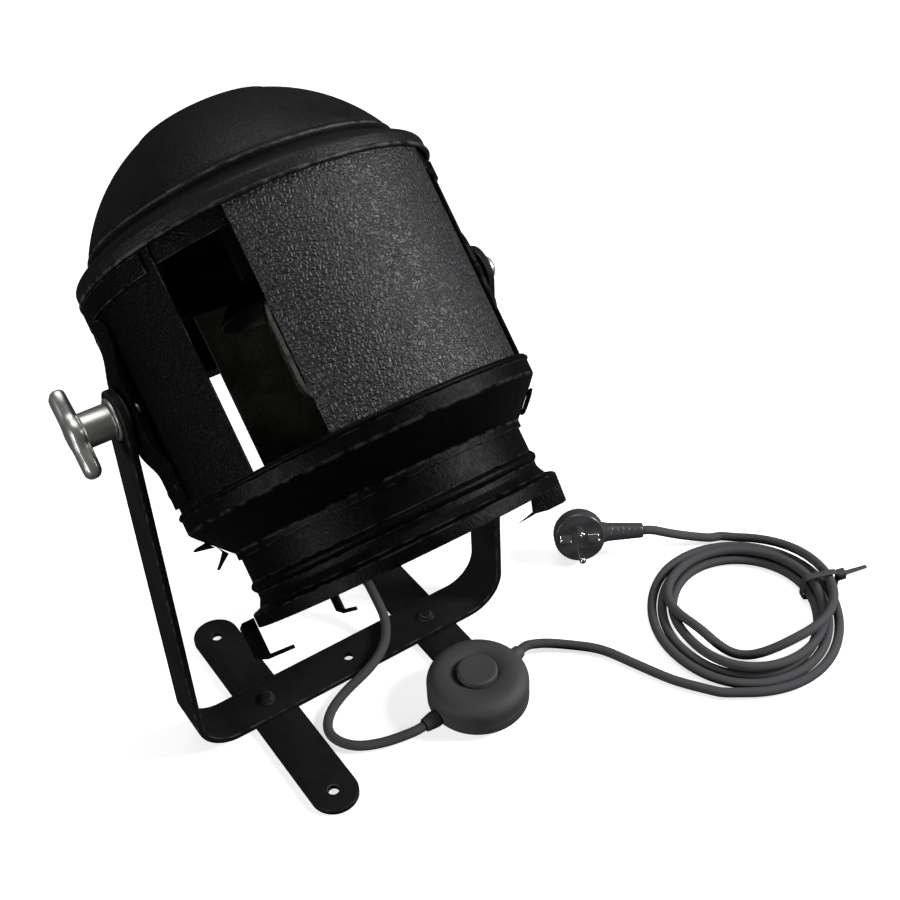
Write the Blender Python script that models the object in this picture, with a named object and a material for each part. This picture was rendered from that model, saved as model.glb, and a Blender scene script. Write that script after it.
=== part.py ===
"""Stage spotlight on a flat bar yoke, with its foot switch, coiled lead and plug.

Lengths are metres. The stand rests on z = 0 and the tilt axis runs along X.
Pieces of the head are drawn round their own axis: rear end up, then tilted.
"""

import math

import bmesh
import bpy
from mathutils import Matrix, Vector
from mathutils.geometry import tessellate_polygon

# clearances
SEAT_GAP = 0.0003
TURN_GAP = 0.0003

# flat bar stand
BAR_WIDTH = 0.030
BAR_THICK = 0.004
BAR_CHAMFER = 0.0006
YOKE_BEND_RADIUS = 0.026
PIVOT_HEIGHT = 0.2601
YOKE_HOLE_RADIUS = 0.0045
FOOT_HALF_LENGTH = 0.0928
FOOT_SPREAD = 0.0606
FOOT_SHIFT = -0.0055
FOOT_HOLE_OFFSET = 0.0770
FOOT_HOLE_RADIUS = 0.0034
SCREW_RADIUS = 0.0030
SCREW_HEAD_RADIUS = 0.0058
SCREW_HEAD_HEIGHT = 0.0028

# tilt of the lamp head, degrees below level
HEAD_TILT = 44.26

# spun rear cap
SHEET = 0.0013
PANEL_SHEET = 0.0012
DOME_SHRINK = 0.0006
DOME_START_ANGLE = 24.72
DOME_FOOT_ANGLE = 60.96
DOME_FOOT_SETBACK = 0.0194
CAP_DISC_STEP = 0.0013
CAP_DISC_INSET = 0.0010
CAP_GROOVE_STEP = 0.0004
CAP_BEAD_OFFSET = 0.0047
CAP_BEAD_WIDTH = 0.0048
CAP_BEAD_HEIGHT = 0.0022
CAP_FLARE_OFFSET = 0.0082
CAP_BAND_SETBACK = 0.0017
CAP_LIP_OVERLAP = 0.0054
LIP_BEAD_HEIGHT = 0.0010
LIP_BEAD_WIDTH = 0.0026

# body of the head
PANEL_RADIUS = 0.0999
PANEL_REAR_STATION = -0.0668
PANEL_FRONT_STATION = 0.0660
HOOP_REAR_STATION = -0.0668
HOOP_FRONT_STATION = -0.0520
TOP_PANEL_START = -26.5
TOP_PANEL_END = 47.0
BOTTOM_PANEL_START = 133.0
BOTTOM_PANEL_END = 193.0
LEFT_CHEEK_START = -128.5
LEFT_CHEEK_END = -51.5
RIGHT_CHEEK_START = 67.0
RIGHT_CHEEK_END = 119.0
DOUBLER_START_STATION = -0.0608
DOUBLER_END_STATION = -0.0500
DOUBLER_SHEET = 0.0018
DOUBLER_EDGE_INSET = 3.0

# pivot straps
STRAP_WIDTH = 0.030
STRAP_THICK = 0.0020
STRAP_REAR_STATION = -0.0430
STRAP_END_SHARE = 0.42
STRAP_RISE_STATION = -0.0380
STRAP_TOP_REAR_STATION = -0.0140
STRAP_TOP_FRONT_STATION = 0.0190
STRAP_FALL_STATION = 0.0370
STRAP_FRONT_STATION = 0.0540
STRAP_LIFT = 0.0048

# pivots
STUD_RADIUS = 0.0040
STUD_HEAD_RADIUS = 0.0070
STUD_HEAD_THICK = 0.0040
WASHER_RADIUS = 0.0115
FIBRE_WASHER_THICK = 0.00147
KNOB_WASHER_THICK = 0.0013
NUT_WASHER_RADIUS = 0.0095
NUT_RADIUS = 0.0072
NUT_LENGTH = 0.0066

# cast hand knob
KNOB_HUB_RADIUS = 0.0094
KNOB_HUB_LENGTH = 0.0153
KNOB_REACH = 0.0243
KNOB_BOSS_RADIUS = 0.0095
KNOB_WING_THICK = 0.0080
KNOB_WING_ANGLE = 23.0
KNOB_EDGE_ROUND = 0.0026
KNOB_CROWN = 0.0006
KNOB_BORE_DEPTH = 0.0170
KNOB_TURN = 5.2

# front ring, tube and flange
RING_REAR_STATION = 0.0574
RING_BEAD_STATION = 0.0590
RING_BAND_STATION = 0.0685
RING_SHOULDER_STATION = 0.0725
RING_SHOULDER_DROP = 0.0035
RING_NECK_STATION = 0.0862
RING_NECK_RISE = 0.0030
RING_END_STATION = 0.0915
TUBE_RADIUS = 0.0818
TUBE_REAR_STATION = 0.0850
TUBE_BEAD_STATION = 0.1080
TUBE_BEAD_WIDTH = 0.0060
TUBE_BEAD_HEIGHT = 0.0019
TUBE_FLARE_STATION = 0.1140
FLANGE_REAR_STATION = 0.1200
FLANGE_RISE = 0.0070
FLANGE_FRONT_STATION = 0.1277
FLARE_RISE = 0.0022

# lens and its rings
LENS_REAR_STATION = 0.0935
LENS_EDGE = 0.0040
LENS_BULGE = 0.0150
LENS_RING_WIRE = 0.0014

# gel frame clips, catch tongues and lug
CLIP_THICK = 0.0015
CLIP_WIDTH = 0.0090
CLIP_REAR_STATION = 0.1217
CLIP_FRONT_STATION = 0.1425
CLIP_HOOK_REACH = 0.0130
CLIP_HOOK_WIDTH = 0.0022
LEFT_CLIP_ANGLE = -103.0
RIGHT_CLIP_ANGLE = 86.0
LOWER_CLIP_ANGLE = 192.0
CATCH_ANGLE = -106.0
CATCH_WIDTH = 0.0080
CATCH_THICK = 0.0011
REAR_CATCH_STATION = 0.0762
REAR_CATCH_REACH = 0.0085
FRONT_CATCH_STATION = 0.0828
FRONT_CATCH_REACH = 0.0080
CATCH_FOOT = 0.0050
LUG_ANGLE = 69.0
LUG_WIDTH = 0.0140
LUG_THICK = 0.0016
LUG_RISE = 0.0034
LUG_REAR_STATION = 0.0757
LUG_FRONT_STATION = 0.0862

# reflector, lamp holder, bulb, terminal box and gland
REFLECTOR_RADIUS = 0.0400
REFLECTOR_HOLE_RADIUS = 0.0160
REFLECTOR_CURVE = 0.0480
REFLECTOR_RIM_STATION = -0.0240
BRACKET_FLANGE_RADIUS = 0.0200
BRACKET_RADIUS = 0.0090
HOLDER_RADIUS = 0.0190
HOLDER_REAR_STATION = -0.1000
HOLDER_BORE_DEPTH = 0.0360
CAP_TUBE_RADIUS = 0.0132
CAP_TUBE_LENGTH = 0.0340
BULB_RADIUS = 0.0165
BULB_LENGTH = 0.0800
BULB_NECK_RADIUS = 0.0130
TRAY_HALF_WIDTH = 0.0340
TRAY_CENTRE = -0.0080
TRAY_REAR_STATION = -0.0560
TRAY_FRONT_STATION = -0.0190
TRAY_DEPTH = 0.0231
TRAY_WALL = 0.0012
GLAND_RADIUS = 0.0078
GLAND_LENGTH = 0.0300
GLAND_TIP_RADIUS = 0.0048
GLAND_X = 0.0040
GLAND_INSET = 0.0110

# foot switch
SWITCH_X = 0.0512
SWITCH_Y = -0.0745
SWITCH_RADIUS = 0.0325
SWITCH_BASE_HEIGHT = 0.0080
SWITCH_HEIGHT = 0.0220
SWITCH_ROUND = 0.0090
BUTTON_RADIUS = 0.0130
BUTTON_PROUD = 0.0034
BUTTON_TRAVEL = 0.0025
BUTTON_STEM_RADIUS = 0.0060
SLEEVE_LENGTH = 0.0100
SLEEVE_RADIUS = 0.0055
SLEEVE_TIP_RADIUS = 0.0044
SWITCH_IN_ANGLE = 184.0
SWITCH_OUT_ANGLE = 16.0

# cord
CORD_RADIUS = 0.00315
CORD_GAP = 0.0003
COIL_X = 0.2360
COIL_Y = -0.1160
COIL_RADIUS = 0.0726
COIL_START = -132.0
COIL_STEPS = 24
TIE_ANGLE = -20.0
TIE_THICK = 0.0009
TIE_WIDTH = 0.0046
TIE_TAIL = 0.0150
TIE_INNER_SHARE = 0.622
TIE_OUTER_SHARE = 0.953
TIE_TOP = 0.0196
TIE_SQUARE_SHARE = 0.36
TIE_RISE_SHARE = 0.12

# plug
PLUG_X = 0.1807
PLUG_Y = -0.0140
PLUG_RADIUS = 0.0178
PLUG_DEPTH = 0.0165
PLUG_LEAN = 20.0
PLUG_TURN = -32.4
BOOT_LENGTH = 0.0270
BOOT_ROOT_RADIUS = 0.0080
BOOT_TIP_RADIUS = 0.0056
PIN_RADIUS = 0.0024
PIN_LENGTH = 0.0190
PIN_SPREAD = 0.0095
EARTH_WIDTH = 0.0060
EARTH_THICK = 0.0011
EARTH_OFFSET = 0.0138

# sizes that follow from those above
DOME_RADIUS = PANEL_RADIUS - DOME_SHRINK
DOME_FOOT_STATION = PANEL_REAR_STATION - DOME_FOOT_SETBACK
DOME_CENTRE_STATION = DOME_FOOT_STATION + DOME_RADIUS * math.cos(math.radians(DOME_FOOT_ANGLE))
DOME_START_STATION = DOME_CENTRE_STATION - DOME_RADIUS * math.cos(math.radians(DOME_START_ANGLE))
CAP_END_STATION = DOME_START_STATION - CAP_DISC_STEP
CAP_DISC_RADIUS = DOME_RADIUS * math.sin(math.radians(DOME_START_ANGLE)) - CAP_DISC_INSET
CAP_GROOVE_RADIUS = DOME_RADIUS * math.sin(math.radians(DOME_FOOT_ANGLE)) + CAP_GROOVE_STEP
CAP_BEAD_STATION = DOME_FOOT_STATION + CAP_BEAD_OFFSET
CAP_FLARE_STATION = DOME_FOOT_STATION + CAP_FLARE_OFFSET
CAP_BAND_STATION = PANEL_REAR_STATION - CAP_BAND_SETBACK
CAP_LIP_STATION = PANEL_REAR_STATION + CAP_LIP_OVERLAP
RING_RADIUS = PANEL_RADIUS + SEAT_GAP + SHEET
RING_SHOULDER_RADIUS = RING_RADIUS - RING_SHOULDER_DROP
RING_NECK_RADIUS = TUBE_RADIUS + RING_NECK_RISE
FLANGE_RADIUS = TUBE_RADIUS + FLANGE_RISE
STRAP_RAISED_RADIUS = PANEL_RADIUS + SEAT_GAP + STRAP_THICK + STRAP_LIFT
YOKE_HALF_WIDTH = STRAP_RAISED_RADIUS + SEAT_GAP * 2 + FIBRE_WASHER_THICK + BAR_THICK
TRAY_BOTTOM_HEIGHT = -(PANEL_RADIUS + TRAY_DEPTH)
GLAND_HEIGHT = TRAY_BOTTOM_HEIGHT + GLAND_INSET

# radius of the coil at eighths of a turn, as shares of the coil radius
COIL_RADIUS_SHARES = (
    (1.006, 0.967, 0.890, 0.878, 0.843, 0.815, 0.799, 0.844),
    (0.906, 0.867, 0.796, 0.784, 0.749, 0.721, 0.705, 0.749),
    (0.811, 0.772, 0.702, 0.690, 0.655, 0.626, 0.609, 0.640),
    (0.788, 0.790, 0.750, 0.737, 0.702, 0.674, 0.658, 0.535),
    (0.578, 0.680, 0.828, 0.918, 0.962),
)
# height of the same points, as shares of the cord diameter
COIL_HEIGHT_SHARES = (
    (0.54, 0.58, 0.84, 0.64, 0.54, 0.54, 0.54, 0.54),
    (0.54, 0.58, 0.84, 0.64, 0.54, 0.54, 0.54, 0.54),
    (0.54, 0.58, 0.84, 0.64, 0.54, 0.54, 0.54, 0.97),
    (1.64, 1.68, 1.84, 1.66, 1.54, 1.54, 1.66, 1.84),
    (0.64, 2.72, 2.72, 1.84, 0.60),
)

# cord routes, points read from the lie of the lead
LAMP_LEAD_ROUTE = (
    (0.0052, 0.0560, 0.1555),
    (0.0095, 0.0455, 0.1340),
    (0.0170, 0.0390, 0.1000),
    (0.0255, 0.0370, 0.0680),
    (0.0330, 0.0340, 0.0420),
    (0.0365, 0.0250, 0.0230),
    (0.0355, 0.0120, 0.0140),
    (0.0300, 0.0010, 0.0121),
    (0.0210, -0.0100, 0.0121),
    (0.0050, -0.0188, 0.0106),
    (-0.0160, -0.0222, 0.0048),
    (-0.0330, -0.0310, 0.0034),
    (-0.0412, -0.0450, 0.0034),
    (-0.0340, -0.0610, 0.0034),
    (-0.0170, -0.0705, 0.0038),
)
SWITCH_LEAD_ROUTE = (
    (0.1105, -0.0650, 0.0062),
    (0.1240, -0.0740, 0.0038),
    (0.1390, -0.0900, 0.0034),
    (0.1490, -0.1130, 0.0034),
    (0.1600, -0.1380, 0.0034),
)
PLUG_LEAD_ROUTE = (
    (0.2690, -0.0545, 0.0038),
    (0.2560, -0.0465, 0.0066),
    (0.2420, -0.0405, 0.0125),
)


class Finish:
    """Colour, roughness and metallic share of one material."""

    def __init__(self, name, colour, roughness, metallic):
        self.name = name
        self.colour = colour
        self.roughness = roughness
        self.metallic = metallic

    def material(self):
        found = bpy.data.materials.get(self.name)
        if found:
            return found
        made = bpy.data.materials.new(self.name)
        made.use_nodes = True
        shader = made.node_tree.nodes["Principled BSDF"]
        shader.inputs["Base Color"].default_value = (*self.colour, 1.0)
        shader.inputs["Roughness"].default_value = self.roughness
        shader.inputs["Metallic"].default_value = self.metallic
        return made


BLACK_PAINT = Finish("black_wrinkle_paint", (0.018, 0.019, 0.023), 0.55, 0.0)
STAND_PAINT = Finish("black_stand_paint", (0.016, 0.016, 0.016), 0.50, 0.0)
TRAY_PAINT = Finish("dusty_inner_paint", (0.045, 0.043, 0.034), 0.75, 0.0)
CAST_ALUMINIUM = Finish("cast_aluminium", (0.46, 0.46, 0.43), 0.45, 1.0)
STEEL = Finish("dull_steel", (0.33, 0.33, 0.30), 0.42, 1.0)
FIBRE = Finish("dark_fibre", (0.030, 0.022, 0.018), 0.80, 0.0)
MIRROR = Finish("reflector_metal", (0.80, 0.80, 0.80), 0.15, 1.0)
CERAMIC = Finish("holder_ceramic", (0.56, 0.52, 0.43), 0.30, 0.0)
BRASS = Finish("cap_brass", (0.62, 0.48, 0.22), 0.35, 1.0)
GLASS = Finish("clear_glass", (0.92, 0.94, 0.94), 0.03, 0.0)
SWITCH_PLASTIC = Finish("switch_plastic", (0.014, 0.014, 0.015), 0.38, 0.0)
CORD_RUBBER = Finish("cord_sheath", (0.016, 0.016, 0.017), 0.45, 0.0)
PLUG_PLASTIC = Finish("plug_plastic", (0.018, 0.018, 0.020), 0.42, 0.0)
PIN_NICKEL = Finish("nickel_pins", (0.70, 0.69, 0.66), 0.22, 1.0)
TIE_PLASTIC = Finish("tie_plastic", (0.014, 0.014, 0.014), 0.40, 0.0)

ROUND_SIDES = 44
SMALL_SIDES = 14
ALONG_X = (0.0, math.pi / 2, 0.0)
ALONG_MINUS_X = (0.0, -math.pi / 2, 0.0)
SHARP_ANGLE = math.radians(32.0)


def clear_scene():
    """Remove every object that the file starts with."""
    for item in list(bpy.data.objects):
        bpy.data.objects.remove(item)


def new_object(name, vertices, faces, finish, parent=None):
    """Make one mesh object with outward normals and one material."""
    mesh = bpy.data.meshes.new(name)
    mesh.from_pydata([tuple(v) for v in vertices], [], faces)
    work = bmesh.new()
    work.from_mesh(mesh)
    bmesh.ops.recalc_face_normals(work, faces=work.faces[:])
    work.to_mesh(mesh)
    work.free()
    mesh.shade_smooth()
    mesh.set_sharp_from_angle(angle=SHARP_ANGLE)
    mesh.materials.append(finish.material())
    item = bpy.data.objects.new(name, mesh)
    bpy.context.scene.collection.objects.link(item)
    item.parent = parent
    return item


def empty(name, place, turn=(0.0, 0.0, 0.0), parent=None):
    """Make a bare frame that other pieces hang on."""
    item = bpy.data.objects.new(name, None)
    item.location = place
    item.rotation_euler = turn
    bpy.context.scene.collection.objects.link(item)
    item.parent = parent
    return item


def head_point(radius, angle, station):
    """Point of the head: angle in degrees from its upper side, station from the tilt axis."""
    turn = math.radians(angle)
    return Vector((radius * math.sin(turn), -radius * math.cos(turn), -station))


def offset_path(path, distance):
    """Move an open (radius, station) path to its inner side."""
    moved = []
    last = len(path) - 1
    for index, point in enumerate(path):
        before = path[max(index - 1, 0)]
        after = path[min(index + 1, last)]
        normals = []
        for start, end in ((before, point), (point, after)):
            run = math.hypot(end[0] - start[0], end[1] - start[1])
            if run > 0:
                normals.append(((end[1] - start[1]) / run, -(end[0] - start[0]) / run))
        across = sum(n[0] for n in normals) / len(normals)
        along = sum(n[1] for n in normals) / len(normals)
        square = across * across + along * along
        reach = distance / max(square, 0.45)
        moved.append((point[0] - across * reach, point[1] - along * reach))
    return moved


def sheet_outline(path, thickness):
    """Closed outline of sheet metal bent along a (radius, station) path."""
    return list(path) + list(reversed(offset_path(path, thickness)))


def lathe(name, outline, finish, parent=None, sides=ROUND_SIDES, flip=1.0):
    """Revolve a closed (radius, station) outline round Z; stations run down when flip is 1."""
    vertices = []
    columns = []
    for radius, station in outline:
        if radius == 0:
            columns.append([len(vertices)] * sides)
            vertices.append(Vector((0.0, 0.0, -station * flip)))
            continue
        row = []
        for side in range(sides):
            turn = math.tau * side / sides
            row.append(len(vertices))
            vertices.append(Vector((radius * math.sin(turn), -radius * math.cos(turn), -station * flip)))
        columns.append(row)
    faces = []
    for index, row in enumerate(columns):
        after = columns[(index + 1) % len(columns)]
        if row[0] == row[1] and after[0] == after[1]:
            continue
        for side in range(sides):
            beside = (side + 1) % sides
            corners = [row[side], row[beside], after[beside], after[side]]
            kept = list(dict.fromkeys(corners))
            faces.append(kept)
    return new_object(name, vertices, faces, finish, parent)


def sector(name, path, thickness, start, end, finish, parent, sides):
    """Part turn of sheet metal between two angles of the head."""
    inner = offset_path(path, thickness)
    count = len(path)
    vertices = []
    for side in range(sides + 1):
        angle = start + (end - start) * side / sides
        vertices += [head_point(r, angle, s) for r, s in path]
        vertices += [head_point(r, angle, s) for r, s in inner]
    faces = []
    stride = count * 2
    for side in range(sides + 1):
        base = side * stride
        for index in range(count - 1):
            if side in (0, sides):
                faces.append([base + index, base + index + 1, base + count + index + 1, base + count + index])
        if side == sides:
            continue
        after = base + stride
        for index in range(count - 1):
            faces.append([base + index, base + index + 1, after + index + 1, after + index])
            low = base + count + index
            high = after + count + index
            faces.append([low, low + 1, high + 1, high])
        for index in (0, count - 1):
            faces.append([base + index, base + count + index, after + count + index, after + index])
    return new_object(name, vertices, faces, finish, parent)


def bent_strip(name, path, thickness, widths, angle, finish, parent):
    """Flat strip bent along a (radius, station) path at one angle of the head."""
    inner = offset_path(path, thickness)
    turn = math.radians(angle)
    sideways = Vector((math.cos(turn), math.sin(turn), 0.0))
    vertices = []
    for index, width in enumerate(widths):
        outer_point = head_point(path[index][0], angle, path[index][1])
        inner_point = head_point(inner[index][0], angle, inner[index][1])
        for point in (outer_point, inner_point):
            vertices.append(point - sideways * width / 2)
            vertices.append(point + sideways * width / 2)
    return new_object(name, vertices, strip_faces(len(widths), 4, (0, 1, 3, 2)), finish, parent)


def strip_faces(stations, ring, order):
    """Faces of a strip swept through stations that each have the same ring of corners."""
    faces = [[order[i] for i in range(ring)]]
    for station in range(stations - 1):
        low = station * ring
        high = low + ring
        for corner in range(ring):
            beside = (corner + 1) % ring
            faces.append([low + order[corner], low + order[beside], high + order[beside], high + order[corner]])
    base = (stations - 1) * ring
    faces.append([base + order[i] for i in range(ring)])
    return faces


def circle(x, y, radius, sides=SMALL_SIDES):
    """Points of a circle in the plane."""
    return [
        (x + radius * math.cos(math.tau * i / sides), y + radius * math.sin(math.tau * i / sides))
        for i in range(sides)
    ]


def stadium(half_length, radius, x=0.0, y=0.0, sides=12):
    """Points of a bar outline with round ends, long way along y."""
    straight = half_length - radius
    points = []
    for end, base in ((1.0, 0.0), (-1.0, math.pi)):
        for step in range(sides + 1):
            turn = base + math.pi * step / sides
            points.append((x + radius * math.cos(turn), y + end * straight + radius * math.sin(turn)))
    return points


def plate(name, levels, holes, finish, parent=None):
    """Flat piece from outlines at rising levels, with holes straight through."""
    vertices = []
    rings = []
    for outline, level in levels:
        rings.append(list(range(len(vertices), len(vertices) + len(outline))))
        vertices += [Vector((x, y, level)) for x, y in outline]
    bottom_holes = []
    top_holes = []
    for hole in holes:
        for keep, level in ((bottom_holes, levels[0][1]), (top_holes, levels[-1][1])):
            keep.append(list(range(len(vertices), len(vertices) + len(hole))))
            vertices += [Vector((x, y, level)) for x, y in hole]
    faces = []
    for low, high in zip(rings, rings[1:]):
        for index in range(len(low)):
            beside = (index + 1) % len(low)
            faces.append([low[index], low[beside], high[beside], high[index]])
    for low, high in zip(bottom_holes, top_holes):
        for index in range(len(low)):
            beside = (index + 1) % len(low)
            faces.append([low[index], high[index], high[beside], low[beside]])
    for ring, hole_rings in ((rings[0], bottom_holes), (rings[-1], top_holes)):
        loops = [ring] + hole_rings
        flat = [index for loop in loops for index in loop]
        found = tessellate_polygon([[vertices[i] for i in loop] for loop in loops])
        faces += [[flat[corner] for corner in triangle] for triangle in found]
    return new_object(name, vertices, faces, finish, parent)


def washer(name, hole, radius, thickness, place, finish, parent=None):
    """Flat ring on the tilt axis, its inner face at the given x, growing outward."""
    outline = [(hole, 0.0), (radius, 0.0), (radius, -thickness), (hole, -thickness)]
    item = lathe(name, outline, finish, parent, SMALL_SIDES)
    item.location = place
    return item


def cut_away(target, cutter):
    """Cut one piece with another and drop the cutter."""
    modifier = target.modifiers.new("cut", "BOOLEAN")
    modifier.operation = "DIFFERENCE"
    modifier.solver = "EXACT"
    modifier.object = cutter
    graph = bpy.context.evaluated_depsgraph_get()
    mesh = bpy.data.meshes.new_from_object(target.evaluated_get(graph))
    target.modifiers.remove(modifier)
    target.data = mesh
    mesh.shade_smooth()
    mesh.set_sharp_from_angle(angle=SHARP_ANGLE)
    bpy.data.objects.remove(cutter)


def rod_cutter(radius, length, place, turn, parent=None):
    """Plain round rod used to cut a hole."""
    half = length / 2
    outline = [(0.0, -half), (radius, -half), (radius, half), (0.0, half)]
    item = lathe("rod_cutter", outline, STEEL, parent, SMALL_SIDES)
    item.location = place
    item.rotation_euler = turn
    bpy.context.view_layer.update()
    return item


def yoke():
    """Flat bar bent to a U, standing on the two feet, with round arm ends."""
    half_thick = BAR_THICK / 2
    side = YOKE_HALF_WIDTH - half_thick
    base = BAR_THICK + SEAT_GAP + half_thick
    bend = YOKE_BEND_RADIUS - half_thick
    end_radius = BAR_WIDTH / 2
    top = PIVOT_HEIGHT + end_radius
    stations = []
    end_steps = 7
    for step in range(end_steps):
        turn = math.pi / 2 * (step + 1) / end_steps
        drop = end_radius * (1 - math.cos(turn))
        stations.append((Vector((-side, 0.0, top - drop)), Vector((-1.0, 0.0, 0.0)), end_radius * math.sin(turn)))
    bend_steps = 8
    for step in range(bend_steps + 1):
        turn = math.pi / 2 * step / bend_steps
        out = Vector((-math.cos(turn), 0.0, -math.sin(turn)))
        centre = Vector((-side + bend, 0.0, base + bend))
        stations.append((centre + out * bend, out, end_radius))
    mirrored = []
    for place, out, half in reversed(stations):
        mirrored.append((Vector((-place.x, place.y, place.z)), Vector((-out.x, out.y, out.z)), half))
    stations += mirrored
    vertices = []
    cut = BAR_CHAMFER
    for place, out, half in stations:
        ring = (
            (half_thick, -half + cut), (half_thick, half - cut), (half_thick - cut, half),
            (-half_thick + cut, half), (-half_thick, half - cut), (-half_thick, -half + cut),
            (-half_thick + cut, -half), (half_thick - cut, -half),
        )
        for reach, across in ring:
            vertices.append(place + out * reach + Vector((0.0, across, 0.0)))
    faces = strip_faces(len(stations), 8, tuple(range(8)))
    item = new_object("yoke", vertices, faces, STAND_PAINT)
    pivot_rod = rod_cutter(YOKE_HOLE_RADIUS, YOKE_HALF_WIDTH * 3, (0.0, 0.0, PIVOT_HEIGHT), ALONG_X)
    cut_away(item, pivot_rod)
    for x in (-FOOT_SPREAD, 0.0, FOOT_SPREAD):
        rod = rod_cutter(FOOT_HOLE_RADIUS, BAR_WIDTH, (x, 0.0, base), (0.0, 0.0, 0.0))
        cut_away(item, rod)
    return item


def foot(name, x):
    """Cross bar under the yoke, with round ends and three holes."""
    outline = stadium(FOOT_HALF_LENGTH, BAR_WIDTH / 2, x, FOOT_SHIFT)
    inset = stadium(FOOT_HALF_LENGTH - BAR_CHAMFER, BAR_WIDTH / 2 - BAR_CHAMFER, x, FOOT_SHIFT)
    levels = (
        (outline, 0.0),
        (outline, BAR_THICK - BAR_CHAMFER),
        (inset, BAR_THICK),
    )
    holes = [
        circle(x, FOOT_SHIFT - FOOT_HOLE_OFFSET, FOOT_HOLE_RADIUS),
        circle(x, 0.0, FOOT_HOLE_RADIUS),
        circle(x, FOOT_SHIFT + FOOT_HOLE_OFFSET, FOOT_HOLE_RADIUS),
    ]
    return plate(name, levels, holes, STAND_PAINT)


def foot_screw(name, x):
    """Dome headed rivet that joins the yoke to a foot."""
    seat = BAR_THICK * 2 + SEAT_GAP * 2
    rim = seat + SCREW_HEAD_HEIGHT * 0.35
    outline = [
        (0.0, -SEAT_GAP), (SCREW_RADIUS, -SEAT_GAP), (SCREW_RADIUS, -seat), (SCREW_HEAD_RADIUS, -seat),
        (SCREW_HEAD_RADIUS, -rim), (SCREW_HEAD_RADIUS * 0.86, -seat - SCREW_HEAD_HEIGHT * 0.72),
        (SCREW_HEAD_RADIUS * 0.5, -seat - SCREW_HEAD_HEIGHT * 0.95), (0.0, -seat - SCREW_HEAD_HEIGHT),
    ]
    item = lathe(name, outline, STAND_PAINT, None, SMALL_SIDES)
    item.location = (x, 0.0, 0.0)
    return item


def bead(radius, station, width, height):
    """Round rib standing out of a wall."""
    half = width / 2
    return [
        (radius, station - half),
        (radius + height * 0.7, station - half * 0.5),
        (radius + height, station),
        (radius + height * 0.7, station + half * 0.5),
        (radius, station + half),
    ]


def rear_cap(parent):
    """Spun cap: flat end disc, round dome, double rib, flared band and rolled lip."""
    path = [(0.0, CAP_END_STATION), (CAP_DISC_RADIUS, CAP_END_STATION)]
    steps = 7
    for step in range(steps + 1):
        turn = math.radians(DOME_START_ANGLE + (DOME_FOOT_ANGLE - DOME_START_ANGLE) * step / steps)
        path.append((DOME_RADIUS * math.sin(turn), DOME_CENTRE_STATION - DOME_RADIUS * math.cos(turn)))
    path += bead(CAP_GROOVE_RADIUS, CAP_BEAD_STATION, CAP_BEAD_WIDTH, CAP_BEAD_HEIGHT)
    band_radius = PANEL_RADIUS + SEAT_GAP + SHEET
    flare_steps = 5
    for step in range(1, flare_steps + 1):
        share = step / flare_steps
        swell = math.sin(math.pi / 2 * share)
        path.append((
            CAP_GROOVE_RADIUS + (band_radius - CAP_GROOVE_RADIUS) * swell,
            CAP_FLARE_STATION + (CAP_BAND_STATION - CAP_FLARE_STATION) * share,
        ))
    path.append((band_radius, CAP_LIP_STATION - LIP_BEAD_WIDTH * 1.2))
    path.append((band_radius + LIP_BEAD_HEIGHT * 0.7, CAP_LIP_STATION - LIP_BEAD_WIDTH))
    path.append((band_radius + LIP_BEAD_HEIGHT, CAP_LIP_STATION - LIP_BEAD_WIDTH * 0.5))
    path.append((band_radius + LIP_BEAD_HEIGHT * 0.6, CAP_LIP_STATION))
    inner = offset_path(path, SHEET)
    floor_radius = PANEL_RADIUS + SEAT_GAP
    kept = inner[:2] + inner[3:steps + 3:2] + [inner[steps + 4], inner[steps + 6], inner[steps + 8]]
    band_start = CAP_BAND_STATION + SHEET
    inner = kept + [inner[-6], (floor_radius, band_start), (floor_radius, CAP_LIP_STATION)]
    outline = path + list(reversed(inner))
    return lathe("rear_cap", outline, BLACK_PAINT, parent)


def body_panels(parent):
    """Curved sheets between the rear hoop and the front ring, with open gaps between them."""
    path = [(PANEL_RADIUS, PANEL_REAR_STATION), (PANEL_RADIUS, PANEL_FRONT_STATION)]
    sector("top_panel", path, PANEL_SHEET, TOP_PANEL_START, TOP_PANEL_END, BLACK_PAINT, parent, 20)
    sector("bottom_panel", path, PANEL_SHEET, BOTTOM_PANEL_START, BOTTOM_PANEL_END, TRAY_PAINT, parent, 16)
    for name, start, end, angle in (
        ("left_cheek", LEFT_CHEEK_START, LEFT_CHEEK_END, ALONG_MINUS_X),
        ("right_cheek", RIGHT_CHEEK_START, RIGHT_CHEEK_END, ALONG_X),
    ):
        cheek = sector(name, path, PANEL_SHEET, start, end, BLACK_PAINT, parent, 18)
        side = -1.0 if name.startswith("left") else 1.0
        place = (side * PANEL_RADIUS, 0.0, 0.0)
        cut_away(cheek, rod_cutter(STUD_RADIUS + TURN_GAP, PANEL_RADIUS / 2, place, angle, parent))
    hoop = PANEL_RADIUS - PANEL_SHEET - SEAT_GAP
    outline = sheet_outline([(hoop, HOOP_REAR_STATION), (hoop, HOOP_FRONT_STATION)], SHEET)
    lathe("rear_hoop", outline, BLACK_PAINT, parent)
    inside = PANEL_RADIUS + SEAT_GAP + DOUBLER_SHEET
    edge = [(inside, DOUBLER_START_STATION), (inside, DOUBLER_END_STATION)]
    for name, start, end in (
        ("left_doubler", LEFT_CHEEK_START, LEFT_CHEEK_END),
        ("right_doubler", RIGHT_CHEEK_START, RIGHT_CHEEK_END),
    ):
        begin = start + DOUBLER_EDGE_INSET
        finish_angle = end - DOUBLER_EDGE_INSET
        sector(name, edge, DOUBLER_SHEET, begin, finish_angle, BLACK_PAINT, parent, 16)


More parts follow.
